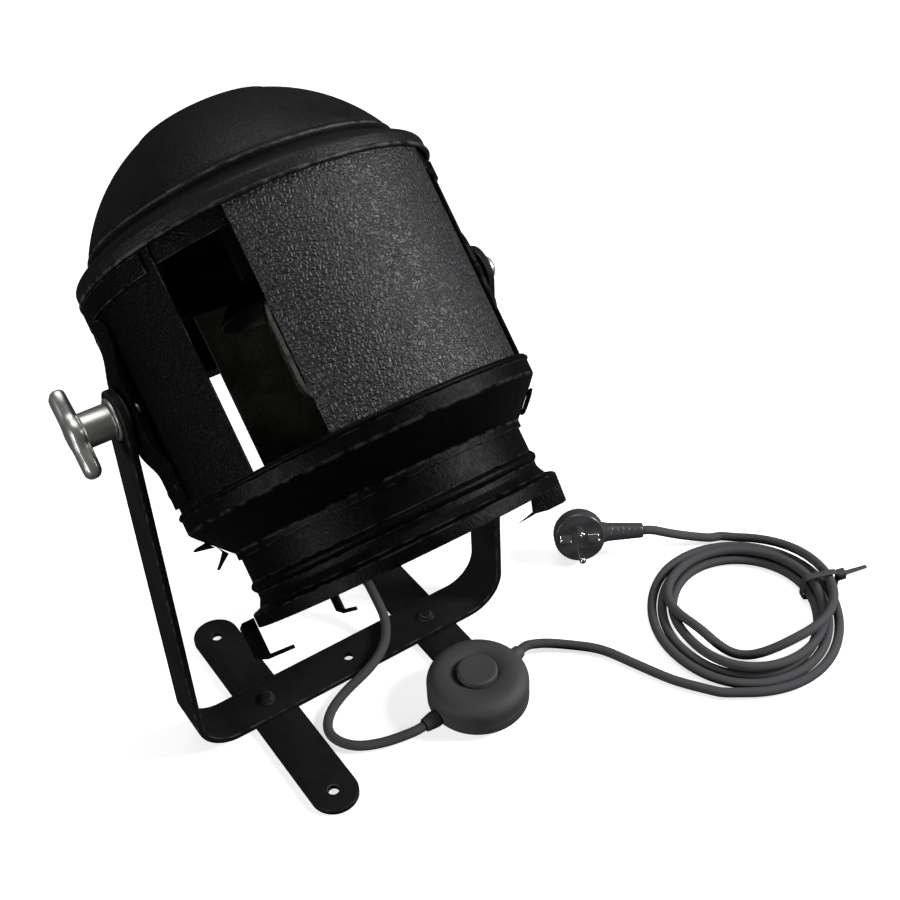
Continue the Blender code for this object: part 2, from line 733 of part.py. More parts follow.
def strap(name, angle, parent):
    """Joggled strap over a cheek, curved like the body, that carries the pivot stud."""
    low = PANEL_RADIUS + SEAT_GAP + STRAP_THICK
    half = STRAP_WIDTH / 2
    path = []
    widths = []
    steps = 4
    for step in range(steps):
        turn = math.pi / 2 * (step + 0.7) / steps
        path.append((low, STRAP_REAR_STATION - half * math.cos(turn) * STRAP_END_SHARE))
        widths.append(STRAP_WIDTH * math.sin(turn))
    for station, radius in (
        (STRAP_RISE_STATION, low),
        (STRAP_TOP_REAR_STATION, STRAP_RAISED_RADIUS),
        (STRAP_TOP_FRONT_STATION, STRAP_RAISED_RADIUS),
        (STRAP_FALL_STATION, low),
        (STRAP_FRONT_STATION, low),
    ):
        path.append((radius, station))
        widths.append(STRAP_WIDTH)
    inner = offset_path(path, STRAP_THICK)
    columns = 6
    spread = math.degrees(1 / PANEL_RADIUS)
    vertices = []
    for index, width in enumerate(widths):
        for radius, station in (path[index], inner[index]):
            for column in range(columns + 1):
                lean = (column / columns - 0.5) * width * spread
                vertices.append(head_point(radius, angle + lean, station))
    count = columns + 1
    ring = tuple(range(count)) + tuple(range(count * 2 - 1, count - 1, -1))
    faces = strip_faces(len(widths), count * 2, ring)
    item = new_object(name, vertices, faces, BLACK_PAINT, parent)
    side = -1.0 if angle < 0 else 1.0
    turn = ALONG_MINUS_X if angle < 0 else ALONG_X
    place = (side * STRAP_RAISED_RADIUS, 0.0, 0.0)
    cut_away(item, rod_cutter(STUD_RADIUS + TURN_GAP, STRAP_WIDTH, place, turn, parent))
    return item


def pivot_parts(head):
    """Studs, washers and cap nut of the two pivots."""
    arm_inner = YOKE_HALF_WIDTH - BAR_THICK
    shim = arm_inner - STRAP_RAISED_RADIUS - SEAT_GAP * 2
    hole = STUD_RADIUS + TURN_GAP
    inner_face = PANEL_RADIUS - PANEL_SHEET - SEAT_GAP * 2
    knob_face = YOKE_HALF_WIDTH + SEAT_GAP * 2 + KNOB_WASHER_THICK
    stud_ends = {
        "left": knob_face + KNOB_BORE_DEPTH - SEAT_GAP * 2,
        "right": YOKE_HALF_WIDTH + SEAT_GAP * 2 + KNOB_WASHER_THICK + NUT_LENGTH * 0.55,
    }
    for side, turn in (("left", ALONG_MINUS_X), ("right", ALONG_X)):
        sign = -1.0 if side == "left" else 1.0
        end = stud_ends[side]
        outline = [
            (0.0, -(inner_face - STUD_HEAD_THICK)), (STUD_HEAD_RADIUS, -(inner_face - STUD_HEAD_THICK)),
            (STUD_HEAD_RADIUS, -inner_face), (STUD_RADIUS, -inner_face), (STUD_RADIUS, -end), (0.0, -end),
        ]
        stud = lathe(side + "_pivot_stud", outline, STEEL, head, SMALL_SIDES)
        stud.rotation_euler = turn
        place = (sign * (STRAP_RAISED_RADIUS + SEAT_GAP), 0.0, 0.0)
        ring = washer(side + "_friction_washer", hole, WASHER_RADIUS, shim, place, FIBRE, head)
        ring.rotation_euler = turn
    for name, radius, side, turn in (
        ("knob_washer", WASHER_RADIUS, -1.0, ALONG_MINUS_X),
        ("nut_washer", NUT_WASHER_RADIUS, 1.0, ALONG_X),
    ):
        place = (side * (YOKE_HALF_WIDTH + SEAT_GAP), 0.0, PIVOT_HEIGHT)
        ring = washer(name, hole, radius, KNOB_WASHER_THICK, place, STEEL)
        ring.rotation_euler = turn
    nut_start = YOKE_HALF_WIDTH + SEAT_GAP * 2 + KNOB_WASHER_THICK
    bore = NUT_LENGTH * 0.62
    outline = [
        (hole, -nut_start), (NUT_RADIUS, -nut_start), (NUT_RADIUS, -nut_start - NUT_LENGTH * 0.45),
        (NUT_RADIUS * 0.92, -nut_start - NUT_LENGTH * 0.70), (NUT_RADIUS * 0.68, -nut_start - NUT_LENGTH * 0.89),
        (NUT_RADIUS * 0.35, -nut_start - NUT_LENGTH * 0.98), (0.0, -nut_start - NUT_LENGTH),
        (0.0, -nut_start - bore), (hole, -nut_start - bore),
    ]
    nut = lathe("dome_nut", outline, STEEL, head, SMALL_SIDES)
    nut.rotation_euler = ALONG_X


def knob_outline(sides):
    """Outline of the knob's two wings and boss, with closer points on the wings."""
    points = []
    for side in range(sides):
        step = math.tau * side / sides
        turn = step - math.sin(step * 2) / 4
        off_wing = abs(math.degrees(math.atan(math.tan(turn))))
        swell = 1 / (1 + (off_wing / KNOB_WING_ANGLE) ** 5)
        radius = KNOB_BOSS_RADIUS + (KNOB_REACH - KNOB_BOSS_RADIUS) * swell
        points.append(Vector((radius * math.cos(turn), radius * math.sin(turn), 0.0)))
    return points


def hand_knob(parent):
    """Cast two-winged knob on a round hub, bored for the stud."""
    sides = 48
    outline = knob_outline(sides)
    normals = []
    for side, point in enumerate(outline):
        run = outline[(side + 1) % sides] - outline[side - 1]
        normals.append(Vector((run.y, -run.x, 0.0)).normalized())
    bore = STUD_RADIUS + TURN_GAP
    directions = [point.normalized() for point in outline]
    rings = []
    for height, radius in (
        (0.0, bore), (0.0, KNOB_HUB_RADIUS - BAR_CHAMFER), (BAR_CHAMFER, KNOB_HUB_RADIUS),
        (KNOB_HUB_LENGTH - BAR_CHAMFER, KNOB_HUB_RADIUS),
    ):
        rings.append([way * radius + Vector((0.0, 0.0, height)) for way in directions])
    wing_shares = ((0.0, 0.75), (0.10, 0.28), (0.28, 0.0), (0.62, 0.0), (0.84, 0.30), (1.0, 1.0))
    for rise, inset in wing_shares:
        height = KNOB_HUB_LENGTH + KNOB_WING_THICK * rise
        level = Vector((0.0, 0.0, height))
        row = []
        for point, normal in zip(outline, normals):
            moved = point - normal * KNOB_EDGE_ROUND * inset
            if height == KNOB_HUB_LENGTH and moved.length < KNOB_HUB_RADIUS:
                moved = moved.normalized() * KNOB_HUB_RADIUS
            row.append(moved + level)
        rings.append(row)
    vertices = [point for row in rings for point in row]
    faces = []
    for low in range(0, len(vertices) - sides, sides):
        for side in range(sides):
            beside = (side + 1) % sides
            faces.append([low + side, low + beside, low + sides + beside, low + sides + side])
    last = len(vertices) - sides
    crown = len(vertices)
    vertices.append(Vector((0.0, 0.0, KNOB_HUB_LENGTH + KNOB_WING_THICK + KNOB_CROWN)))
    floor_start = len(vertices)
    vertices += [way * bore + Vector((0.0, 0.0, KNOB_BORE_DEPTH)) for way in directions]
    bottom = len(vertices)
    vertices.append(Vector((0.0, 0.0, KNOB_BORE_DEPTH)))
    for side in range(sides):
        beside = (side + 1) % sides
        faces.append([last + side, last + beside, crown])
        faces.append([side, beside, floor_start + beside, floor_start + side])
        faces.append([floor_start + side, floor_start + beside, bottom])
    turned = Matrix.Rotation(math.radians(KNOB_TURN), 3, "Z")
    item = new_object("hand_knob", [turned @ v for v in vertices], faces, CAST_ALUMINIUM, parent)
    item.rotation_euler = ALONG_MINUS_X
    item.location = (-(YOKE_HALF_WIDTH + SEAT_GAP * 2 + KNOB_WASHER_THICK), 0.0, 0.0)
    return item


def front_parts(parent):
    """Front ring, stepped tube with its flange, lens and wire rings."""
    path = [
        (RING_RADIUS + LIP_BEAD_HEIGHT * 0.5, RING_REAR_STATION),
        (RING_RADIUS + LIP_BEAD_HEIGHT, RING_BEAD_STATION),
        (RING_RADIUS + LIP_BEAD_HEIGHT * 0.4, RING_BEAD_STATION + LIP_BEAD_WIDTH * 0.6),
        (RING_RADIUS, RING_BEAD_STATION + LIP_BEAD_WIDTH),
        (RING_RADIUS, RING_BAND_STATION),
        (RING_SHOULDER_RADIUS, RING_SHOULDER_STATION),
        (RING_NECK_RADIUS, RING_NECK_STATION),
        (TUBE_RADIUS + SEAT_GAP + SHEET, RING_NECK_STATION + SHEET),
        (TUBE_RADIUS + SEAT_GAP + SHEET, RING_END_STATION),
    ]
    inner = offset_path(path, SHEET)
    floor_radius = PANEL_RADIUS + SEAT_GAP
    inner = [(floor_radius, RING_REAR_STATION), (floor_radius, RING_BAND_STATION - SHEET * 0.4)] + inner[5:]
    lathe("front_ring", path + list(reversed(inner)), BLACK_PAINT, parent)
    path = [(TUBE_RADIUS, TUBE_REAR_STATION)]
    path += bead(TUBE_RADIUS, TUBE_BEAD_STATION, TUBE_BEAD_WIDTH, TUBE_BEAD_HEIGHT)
    path += [
        (TUBE_RADIUS, TUBE_FLARE_STATION),
        (TUBE_RADIUS + FLARE_RISE, FLANGE_REAR_STATION - SHEET),
        (FLANGE_RADIUS - SHEET * 0.6, FLANGE_REAR_STATION),
        (FLANGE_RADIUS, FLANGE_REAR_STATION + SHEET * 0.6),
        (FLANGE_RADIUS, FLANGE_FRONT_STATION),
    ]
    inner = offset_path(path, SHEET)
    kept = inner[:2] + inner[3:4] + inner[5:7] + inner[8:]
    lathe("front_tube", path + list(reversed(kept)), BLACK_PAINT, parent)
    bore = TUBE_RADIUS - SHEET
    edge = bore - SEAT_GAP
    flat_end = LENS_REAR_STATION + LENS_EDGE
    outline = [(0.0, LENS_REAR_STATION), (edge, LENS_REAR_STATION), (edge, flat_end)]
    steps = 5
    for step in range(1, steps):
        share = 1 - step / steps
        outline.append((edge * share, flat_end + LENS_BULGE * (1 - share * share)))
    outline.append((0.0, flat_end + LENS_BULGE))
    lathe("lens", outline, GLASS, parent)
    wire_centre = edge - LENS_RING_WIRE
    for name, station in (
        ("lens_rear_ring", LENS_REAR_STATION - LENS_RING_WIRE - SEAT_GAP),
        ("lens_front_ring", flat_end + LENS_RING_WIRE * 1.6),
    ):
        lathe(name, circle(wire_centre, station, LENS_RING_WIRE, 5), STEEL, parent, 32)


def edge_plate(name, outline, thickness, angle, finish, parent):
    """Flat plate that stands on edge: a (radius, station) outline at one angle of the head."""
    turn = math.radians(angle)
    sideways = Vector((math.cos(turn), math.sin(turn), 0.0)) * thickness / 2
    near = [head_point(r, angle, s) - sideways for r, s in outline]
    far = [head_point(r, angle, s) + sideways for r, s in outline]
    count = len(outline)
    triangles = tessellate_polygon([[Vector((r, s, 0.0)) for r, s in outline]])
    faces = [list(corner) for corner in triangles]
    faces += [[count + index for index in corner] for corner in triangles]
    for index in range(count):
        beside = (index + 1) % count
        faces.append([index, beside, count + beside, count + index])
    return new_object(name, near + far, faces, finish, parent)


def cone_radius(station):
    """Radius of the front ring's shoulder cone at a station."""
    slope = (RING_NECK_RADIUS - RING_SHOULDER_RADIUS) / (RING_NECK_STATION - RING_SHOULDER_STATION)
    return RING_SHOULDER_RADIUS + slope * (station - RING_SHOULDER_STATION)


def cone_lift(thickness):
    """How far a strip on the shoulder cone stands out so that it clears the cone by the seat gap."""
    slope = (RING_NECK_RADIUS - RING_SHOULDER_RADIUS) / (RING_NECK_STATION - RING_SHOULDER_STATION)
    return (thickness + SEAT_GAP) * math.hypot(1.0, slope)


def front_fittings(parent):
    """Hooks for the gel frame, catch tongues and the latch lug."""
    low = FLANGE_RADIUS + SEAT_GAP
    high = low + CLIP_WIDTH
    hook = CLIP_FRONT_STATION + CLIP_HOOK_WIDTH
    outline = [
        (high, CLIP_REAR_STATION + CLIP_HOOK_WIDTH),
        (high - CLIP_HOOK_WIDTH, CLIP_REAR_STATION),
        (low, CLIP_REAR_STATION),
        (low, CLIP_FRONT_STATION),
        (low - CLIP_HOOK_REACH, CLIP_FRONT_STATION + CLIP_HOOK_WIDTH * 0.4),
        (low - CLIP_HOOK_REACH, hook + CLIP_HOOK_WIDTH * 0.4),
        (low + CLIP_HOOK_WIDTH, hook),
        (high, CLIP_FRONT_STATION - CLIP_HOOK_WIDTH * 0.3),
    ]
    for name, angle in (
        ("left_frame_hook", LEFT_CLIP_ANGLE),
        ("right_frame_hook", RIGHT_CLIP_ANGLE),
        ("lower_frame_hook", LOWER_CLIP_ANGLE),
    ):
        edge_plate(name, outline, CLIP_THICK, angle, BLACK_PAINT, parent)
    for name, station, reach, lean in (
        ("rear_catch_tongue", REAR_CATCH_STATION, REAR_CATCH_REACH, 0.15),
        ("front_catch_tongue", FRONT_CATCH_STATION, FRONT_CATCH_REACH, 0.95),
    ):
        lift = cone_lift(CATCH_THICK)
        back = station - CATCH_FOOT
        skin = cone_radius(station) + lift
        path = [
            (cone_radius(back) + lift, back),
            (skin, station),
            (skin + reach * 0.5, station + reach * 0.5 * lean),
            (skin + reach, station + reach * lean),
        ]
        widths = [CATCH_WIDTH, CATCH_WIDTH, CATCH_WIDTH * 0.8, CATCH_WIDTH * 0.45]
        bent_strip(name, path, CATCH_THICK, widths, CATCH_ANGLE, BLACK_PAINT, parent)
    lift = cone_lift(LUG_THICK)
    run = LUG_FRONT_STATION - LUG_REAR_STATION
    path = []
    for share, rise in ((0.0, 0.0), (0.3, 1.0), (0.7, 1.0), (1.0, 0.4)):
        station = LUG_REAR_STATION + run * share
        path.append((cone_radius(station) + lift + (LUG_RISE - lift) * rise, station))
    bent_strip("latch_lug", path, LUG_THICK, [LUG_WIDTH] * 4, LUG_ANGLE, BLACK_PAINT, parent)


def lamp_parts(parent):
    """Rear bracket, lamp holder, reflector and bulb on the head's axis, and the terminal box."""
    cap_inside = CAP_END_STATION + SHEET + SEAT_GAP
    bracket_end = HOLDER_REAR_STATION - SEAT_GAP
    outline = [
        (0.0, cap_inside), (BRACKET_FLANGE_RADIUS, cap_inside), (BRACKET_FLANGE_RADIUS, cap_inside + SHEET),
        (BRACKET_RADIUS, cap_inside + SHEET), (BRACKET_RADIUS, bracket_end), (0.0, bracket_end),
    ]
    lathe("holder_bracket", outline, STEEL, parent, SMALL_SIDES)
    curve = REFLECTOR_CURVE
    depth = curve - math.sqrt(curve * curve - REFLECTOR_RADIUS * REFLECTOR_RADIUS)
    apex = REFLECTOR_RIM_STATION - depth
    path = []
    steps = 5
    first = math.asin(REFLECTOR_HOLE_RADIUS / curve)
    last = math.asin(REFLECTOR_RADIUS / curve)
    for step in range(steps + 1):
        turn = first + (last - first) * step / steps
        path.append((curve * math.sin(turn), apex + curve * (1 - math.cos(turn))))
    lathe("reflector", sheet_outline(path, PANEL_SHEET), MIRROR, parent, 36)
    holder_front = path[0][1] - SEAT_GAP
    bore = CAP_TUBE_RADIUS + TURN_GAP
    floor_station = holder_front - HOLDER_BORE_DEPTH
    rear_step = HOLDER_REAR_STATION + SHEET * 4
    outline = [
        (0.0, HOLDER_REAR_STATION), (HOLDER_RADIUS * 0.7, HOLDER_REAR_STATION), (HOLDER_RADIUS, rear_step),
        (HOLDER_RADIUS, holder_front), (bore, holder_front), (bore, floor_station), (0.0, floor_station),
    ]
    lathe("lamp_holder", outline, CERAMIC, parent, 28)
    seat = floor_station + SEAT_GAP
    top = seat + CAP_TUBE_LENGTH
    outline = [
        (0.0, seat), (CAP_TUBE_RADIUS * 0.4, seat), (CAP_TUBE_RADIUS, seat + CAP_TUBE_LENGTH * 0.2),
        (CAP_TUBE_RADIUS, top), (0.0, top),
    ]
    lathe("bulb_cap", outline, BRASS, parent, 24)
    start = top + SEAT_GAP
    tip = start + BULB_LENGTH
    outline = [
        (0.0, start), (BULB_NECK_RADIUS, start), (BULB_NECK_RADIUS, start + BULB_LENGTH * 0.10),
        (BULB_RADIUS * 0.88, start + BULB_LENGTH * 0.20), (BULB_RADIUS, start + BULB_LENGTH * 0.32),
    ]
    steps = 5
    for step in range(steps):
        turn = math.pi / 2 * step / steps
        outline.append((BULB_RADIUS * math.cos(turn), tip - BULB_RADIUS * (1 - math.sin(turn))))
    outline.append((0.0, tip))
    lathe("bulb_glass", outline, GLASS, parent, 20)
    lamp_tray(parent)
    gland(parent)


def lamp_tray(parent):
    """Open box under the body that holds the wiring, with a hole for the gland."""
    left = TRAY_CENTRE - TRAY_HALF_WIDTH
    right = TRAY_CENTRE + TRAY_HALF_WIDTH
    rear = -TRAY_REAR_STATION
    front = -TRAY_FRONT_STATION
    top = PANEL_RADIUS - GLAND_LENGTH
    bottom = -TRAY_BOTTOM_HEIGHT
    wall = TRAY_WALL
    outer = [(left, front), (right, front), (right, rear), (left, rear)]
    inner = [
        (left + wall, front + wall), (right - wall, front + wall),
        (right - wall, rear - wall), (left + wall, rear - wall),
    ]
    vertices = []
    for ring, level in ((outer, top), (outer, bottom), (inner, bottom - wall), (inner, top)):
        vertices += [Vector((x, level, z)) for x, z in ring]
    faces = [[4, 5, 6, 7], [8, 9, 10, 11]]
    for low, high in ((0, 4), (8, 12), (12, 0)):
        for side in range(4):
            beside = (side + 1) % 4
            faces.append([low + side, low + beside, high + beside, high + side])
    item = new_object("terminal_box", vertices, faces, BLACK_PAINT, parent)
    reach = PANEL_RADIUS + SEAT_GAP * 2
    outline = [(0.0, -reach), (reach, -reach), (reach, reach), (0.0, reach)]
    body_space = lathe("body_space", outline, STEEL, parent)
    bpy.context.view_layer.update()
    cut_away(item, body_space)
    place = (GLAND_X, -GLAND_HEIGHT, front)
    cut_away(item, rod_cutter(CORD_RADIUS + CORD_GAP * 2, GLAND_LENGTH, place, (0.0, 0.0, 0.0), parent))
    return item


def gland(parent):
    """Tapered sleeve on the front face of the tray that holds the lead."""
    start = SEAT_GAP
    hole = CORD_RADIUS + CORD_GAP
    outline = [
        (hole, start), (GLAND_RADIUS, start), (GLAND_RADIUS, start + GLAND_LENGTH * 0.22),
        (GLAND_RADIUS * 0.82, start + GLAND_LENGTH * 0.30), (GLAND_TIP_RADIUS, start + GLAND_LENGTH),
        (hole, start + GLAND_LENGTH),
    ]
    item = lathe("cord_gland", outline, SWITCH_PLASTIC, parent, SMALL_SIDES)
    item.location = (GLAND_X, -GLAND_HEIGHT, -TRAY_FRONT_STATION)
    return item


def switch_port(angle):
    """Centre line start of a sleeve on the switch wall at an angle in degrees."""
    turn = math.radians(angle)
    out = Vector((math.cos(turn), math.sin(turn), 0.0))
    base = BAR_THICK + SEAT_GAP
    level = base + SWITCH_BASE_HEIGHT * 0.5
    return Vector((SWITCH_X, SWITCH_Y, level)) + out * (SWITCH_RADIUS + SEAT_GAP), out


def foot_switch():
    """Round foot switch lying on the right foot: base, cover, push button and two sleeves."""
    base = BAR_THICK + SEAT_GAP
    split = base + SWITCH_BASE_HEIGHT
    place = (SWITCH_X, SWITCH_Y, 0.0)
    round_share = 0.9
    outline = [
        (0.0, -base), (SWITCH_RADIUS * 0.97, -base), (SWITCH_RADIUS, -base - SWITCH_ROUND * 0.12),
        (SWITCH_RADIUS, -split), (0.0, -split),
    ]
    item = lathe("switch_base", outline, SWITCH_PLASTIC, None, 32)
    item.location = place
    low = split + SEAT_GAP
    top = base + SWITCH_HEIGHT
    bore = BUTTON_RADIUS + TURN_GAP
    stem_bore = BUTTON_STEM_RADIUS + TURN_GAP
    well = top - BUTTON_TRAVEL - SEAT_GAP * 2 - BUTTON_PROUD
    outline = [(stem_bore, -low), (SWITCH_RADIUS, -low)]
    steps = 6
    for step in range(steps + 1):
        turn = math.pi / 2 * step / steps
        outline.append((
            SWITCH_RADIUS - SWITCH_ROUND * (1 - math.cos(turn)),
            -(top - SWITCH_ROUND * round_share) - SWITCH_ROUND * round_share * math.sin(turn),
        ))
    outline += [(bore, -top), (bore, -well), (stem_bore, -well)]
    item = lathe("switch_cover", outline, SWITCH_PLASTIC, None, 32)
    item.location = place
    under = well + BUTTON_TRAVEL + SEAT_GAP
    stem_end = low + BUTTON_TRAVEL + SEAT_GAP
    crown = top + BUTTON_PROUD
    outline = [
        (0.0, -stem_end), (BUTTON_STEM_RADIUS, -stem_end), (BUTTON_STEM_RADIUS, -under), (BUTTON_RADIUS, -under),
        (BUTTON_RADIUS, -crown + BUTTON_PROUD * 0.45), (BUTTON_RADIUS * 0.9, -crown + BUTTON_PROUD * 0.1),
        (BUTTON_RADIUS * 0.6, -crown), (0.0, -crown),
    ]
    item = lathe("switch_button", outline, SWITCH_PLASTIC, None, 24)
    item.location = place
    for name, angle in (("switch_inlet_sleeve", SWITCH_IN_ANGLE), ("switch_outlet_sleeve", SWITCH_OUT_ANGLE)):
        start, out = switch_port(angle)
        hole = CORD_RADIUS + CORD_GAP
        outline = [
            (hole, 0.0), (SLEEVE_RADIUS, 0.0), (SLEEVE_RADIUS, SLEEVE_LENGTH * 0.3),
            (SLEEVE_TIP_RADIUS, SLEEVE_LENGTH), (hole, SLEEVE_LENGTH),
        ]
        sleeve = lathe(name, outline, SWITCH_PLASTIC, None, SMALL_SIDES, -1.0)
        sleeve.rotation_euler = out.to_track_quat("Z", "Y").to_euler()
        sleeve.location = start


def smooth_route(points, spacing):
    """Even points on a smooth curve through route points."""
    padded = [points[0] * 2 - points[1]] + list(points) + [points[-1] * 2 - points[-2]]
    fine = []
    pieces = 16
    for index in range(1, len(padded) - 2):
        p0, p1, p2, p3 = padded[index - 1:index + 3]
        for step in range(pieces):
            t = step / pieces
            a = p1 * 2
            b = p2 - p0
            c = p0 * 2 - p1 * 5 + p2 * 4 - p3
            d = p1 * 3 - p0 - p2 * 3 + p3
            fine.append((a + b * t + c * (t * t) + d * (t * t * t)) / 2)
    fine.append(padded[-2])
    lengths = [0.0]
    for before, after in zip(fine, fine[1:]):
        lengths.append(lengths[-1] + (after - before).length)
    count = max(3, round(lengths[-1] / spacing))
    even = []
    cursor = 0
    for step in range(count + 1):
        target = lengths[-1] * step / count
        while cursor < len(lengths) - 2 and lengths[cursor + 1] < target:
            cursor += 1
        span = lengths[cursor + 1] - lengths[cursor]
        share = (target - lengths[cursor]) / span if span > 0 else 0.0
        even.append(fine[cursor].lerp(fine[cursor + 1], min(share, 1.0)))
    return even, lengths[-1]


def tube(name, points, resolution):
    """Solid round cord along points."""
    curve = bpy.data.curves.new(name, "CURVE")
    curve.dimensions = "3D"
    curve.bevel_depth = CORD_RADIUS
    curve.bevel_resolution = resolution
    curve.use_fill_caps = True
    spline = curve.splines.new("POLY")
    spline.points.add(len(points) - 1)
    for target, point in zip(spline.points, points):
        target.co = (*point, 1.0)
    curve.materials.append(CORD_RUBBER.material())
    item = bpy.data.objects.new(name, curve)
    bpy.context.scene.collection.objects.link(item)
    return item


def free_lead(name, start, start_way, route, end, end_way):
    """Cord between two ends, straight for one diameter at each."""
    lead = CORD_RADIUS * 2
    inner_start = start + start_way * lead
    inner_end = end + end_way * lead
    middle, length = smooth_route([inner_start] + [Vector(p) for p in route] + [inner_end], lead * 2)
    points = [start] + middle + [end]
    print(name, "length", round(length + lead * 2, 4))
    return tube(name, points, 2)


def cubic(values, where):
    """Smooth value between even samples."""
    index = min(int(where), len(values) - 2)
    t = where - index
    p1 = values[index]
    p2 = values[index + 1]
    p0 = values[index - 1] if index > 0 else p1 * 2 - p2
    p3 = values[index + 2] if index + 2 < len(values) else p2 * 2 - p1
    b = p2 - p0
    c = p0 * 2 - p1 * 5 + p2 * 4 - p3
    d = p1 * 3 - p0 - p2 * 3 + p3
    return (p1 * 2 + b * t + c * t * t + d * t * t * t) / 2


def coil_points():
    """Centre line of the lying coil: angle runs on, radius and height follow the shares."""
    radii = [share for turn in COIL_RADIUS_SHARES for share in turn]
    heights = [share for turn in COIL_HEIGHT_SHARES for share in turn]
    per_turn = len(COIL_RADIUS_SHARES[0])
    total = (len(radii) - 1) / per_turn
    count = round(total * COIL_STEPS)
    points = []
    for step in range(count + 1):
        where = total * per_turn * step / count
        turn = math.radians(COIL_START) + math.tau * where / per_turn
        radius = COIL_RADIUS * cubic(radii, where)
        height = CORD_RADIUS * 2 * cubic(heights, where)
        points.append(Vector((COIL_X + radius * math.cos(turn), COIL_Y + radius * math.sin(turn), height)))
    return points


def straight_ends(points):
    """Add one straight diameter at both ends of a point list."""
    lead = CORD_RADIUS * 2
    first = (points[0] - points[1]).normalized()
    last = (points[-1] - points[-2]).normalized()
    first.z = 0.0
    last.z = last.z * 0.5
    return [points[0] + first.normalized() * lead] + points + [points[-1] + last.normalized() * lead]


def least_gap(points, skip):
    """Smallest free space between turns, measured on the centre line."""
    least = 1.0
    for index, point in enumerate(points):
        for other in range(index + skip, len(points) - 1):
            a = points[other]
            b = points[other + 1]
            run = b - a
            share = max(0.0, min(1.0, (point - a).dot(run) / run.length_squared))
            least = min(least, (point - (a + run * share)).length)
    return least - CORD_RADIUS * 2


def cord_coil():
    """The tied coil as one unbroken tube."""
    points = straight_ends(coil_points())
    length = sum((b - a).length for a, b in zip(points, points[1:]))
    print("cord_coil length", round(length, 4), "least gap", round(least_gap(points, COIL_STEPS // 2), 5))
    tube("cord_coil", points, 1)
    return points


def cable_tie():
    """Plastic strap round the bundle, with its head and free tail."""
    inner_radius = COIL_RADIUS * TIE_INNER_SHARE
    outer_radius = COIL_RADIUS * TIE_OUTER_SHARE
    low = TIE_THICK + SEAT_GAP / 2
    turn = math.radians(TIE_ANGLE)
    out = Vector((math.cos(turn), math.sin(turn), 0.0))
    along = Vector((-math.sin(turn), math.cos(turn), 0.0))
    middle = (inner_radius + outer_radius) / 2
    half = (outer_radius - inner_radius) / 2
    height = (TIE_TOP - low) / 2
    centre = Vector((COIL_X, COIL_Y, low + height)) + out * middle
    steps = 20
    vertices = []
    for thick in (0.0, TIE_THICK):
        for step in range(steps):
            angle = math.tau * (step + 0.5) / steps
            across = math.copysign(abs(math.cos(angle)) ** TIE_SQUARE_SHARE, math.cos(angle)) * (half + thick)
            rise = math.copysign(abs(math.sin(angle)) ** TIE_SQUARE_SHARE, math.sin(angle)) * (height + thick)
            for side in (-1.0, 1.0):
                vertices.append(centre + out * across + Vector((0.0, 0.0, rise)) + along * side * TIE_WIDTH / 2)
    faces = []
    outer = steps * 2
    for step in range(steps):
        a = step * 2
        b = ((step + 1) % steps) * 2
        faces.append([a, b, b + 1, a + 1])
        faces.append([outer + a, outer + a + 1, outer + b + 1, outer + b])
        faces.append([a, outer + a, outer + b, b])
        faces.append([a + 1, b + 1, outer + b + 1, outer + a + 1])
    item = new_object("cable_tie", vertices, faces, TIE_PLASTIC)
    head_size = TIE_WIDTH * 1.3
    start = centre + out * (half + TIE_THICK * 0.4)
    box = []
    reach = TIE_TAIL + head_size
    for step_out, width, thick in (
        (0.0, head_size, head_size * 0.9), (head_size * 0.9, head_size, head_size * 0.9),
        (head_size * 0.9 + TIE_THICK * 0.1, TIE_WIDTH * 0.8, TIE_THICK * 1.2), (reach, TIE_WIDTH * 0.6, TIE_THICK),
    ):
        rise = Vector((0.0, 0.0, height * 0.55 + step_out * TIE_RISE_SHARE))
        for side, lift in ((-1.0, -1.0), (1.0, -1.0), (1.0, 1.0), (-1.0, 1.0)):
            corner = along * side * width / 2 + Vector((0.0, 0.0, lift * thick / 2))
            box.append(start + out * step_out + rise + corner)
    tail = new_object("tie_head", box, strip_faces(4, 4, (0, 1, 2, 3)), TIE_PLASTIC)
    join = item.modifiers.new("join", "BOOLEAN")
    join.operation = "UNION"
    join.solver = "EXACT"
    join.object = tail
    graph = bpy.context.evaluated_depsgraph_get()
    mesh = bpy.data.meshes.new_from_object(item.evaluated_get(graph))
    item.modifiers.remove(join)
    item.data = mesh
    bpy.data.objects.remove(tail)
    return item


def plug_frame():
    """Frame of the plug: Z along the pins, X along the boot, resting on its rim."""
    turn = math.radians(PLUG_TURN)
    lean = math.radians(PLUG_LEAN)
    boot_way = Vector((math.cos(turn), math.sin(turn), 0.0))
    pin_level = Vector((math.sin(turn), -math.cos(turn), 0.0))
    pin_way = pin_level * math.cos(lean) + Vector((0.0, 0.0, math.sin(lean)))
    side_way = pin_way.cross(boot_way)
    height = PLUG_RADIUS * math.cos(lean) + PLUG_DEPTH * math.sin(lean) + SEAT_GAP
    frame = Matrix((boot_way, side_way, pin_way)).transposed().to_4x4()
    frame.translation = Vector((PLUG_X, PLUG_Y, height))
    return frame


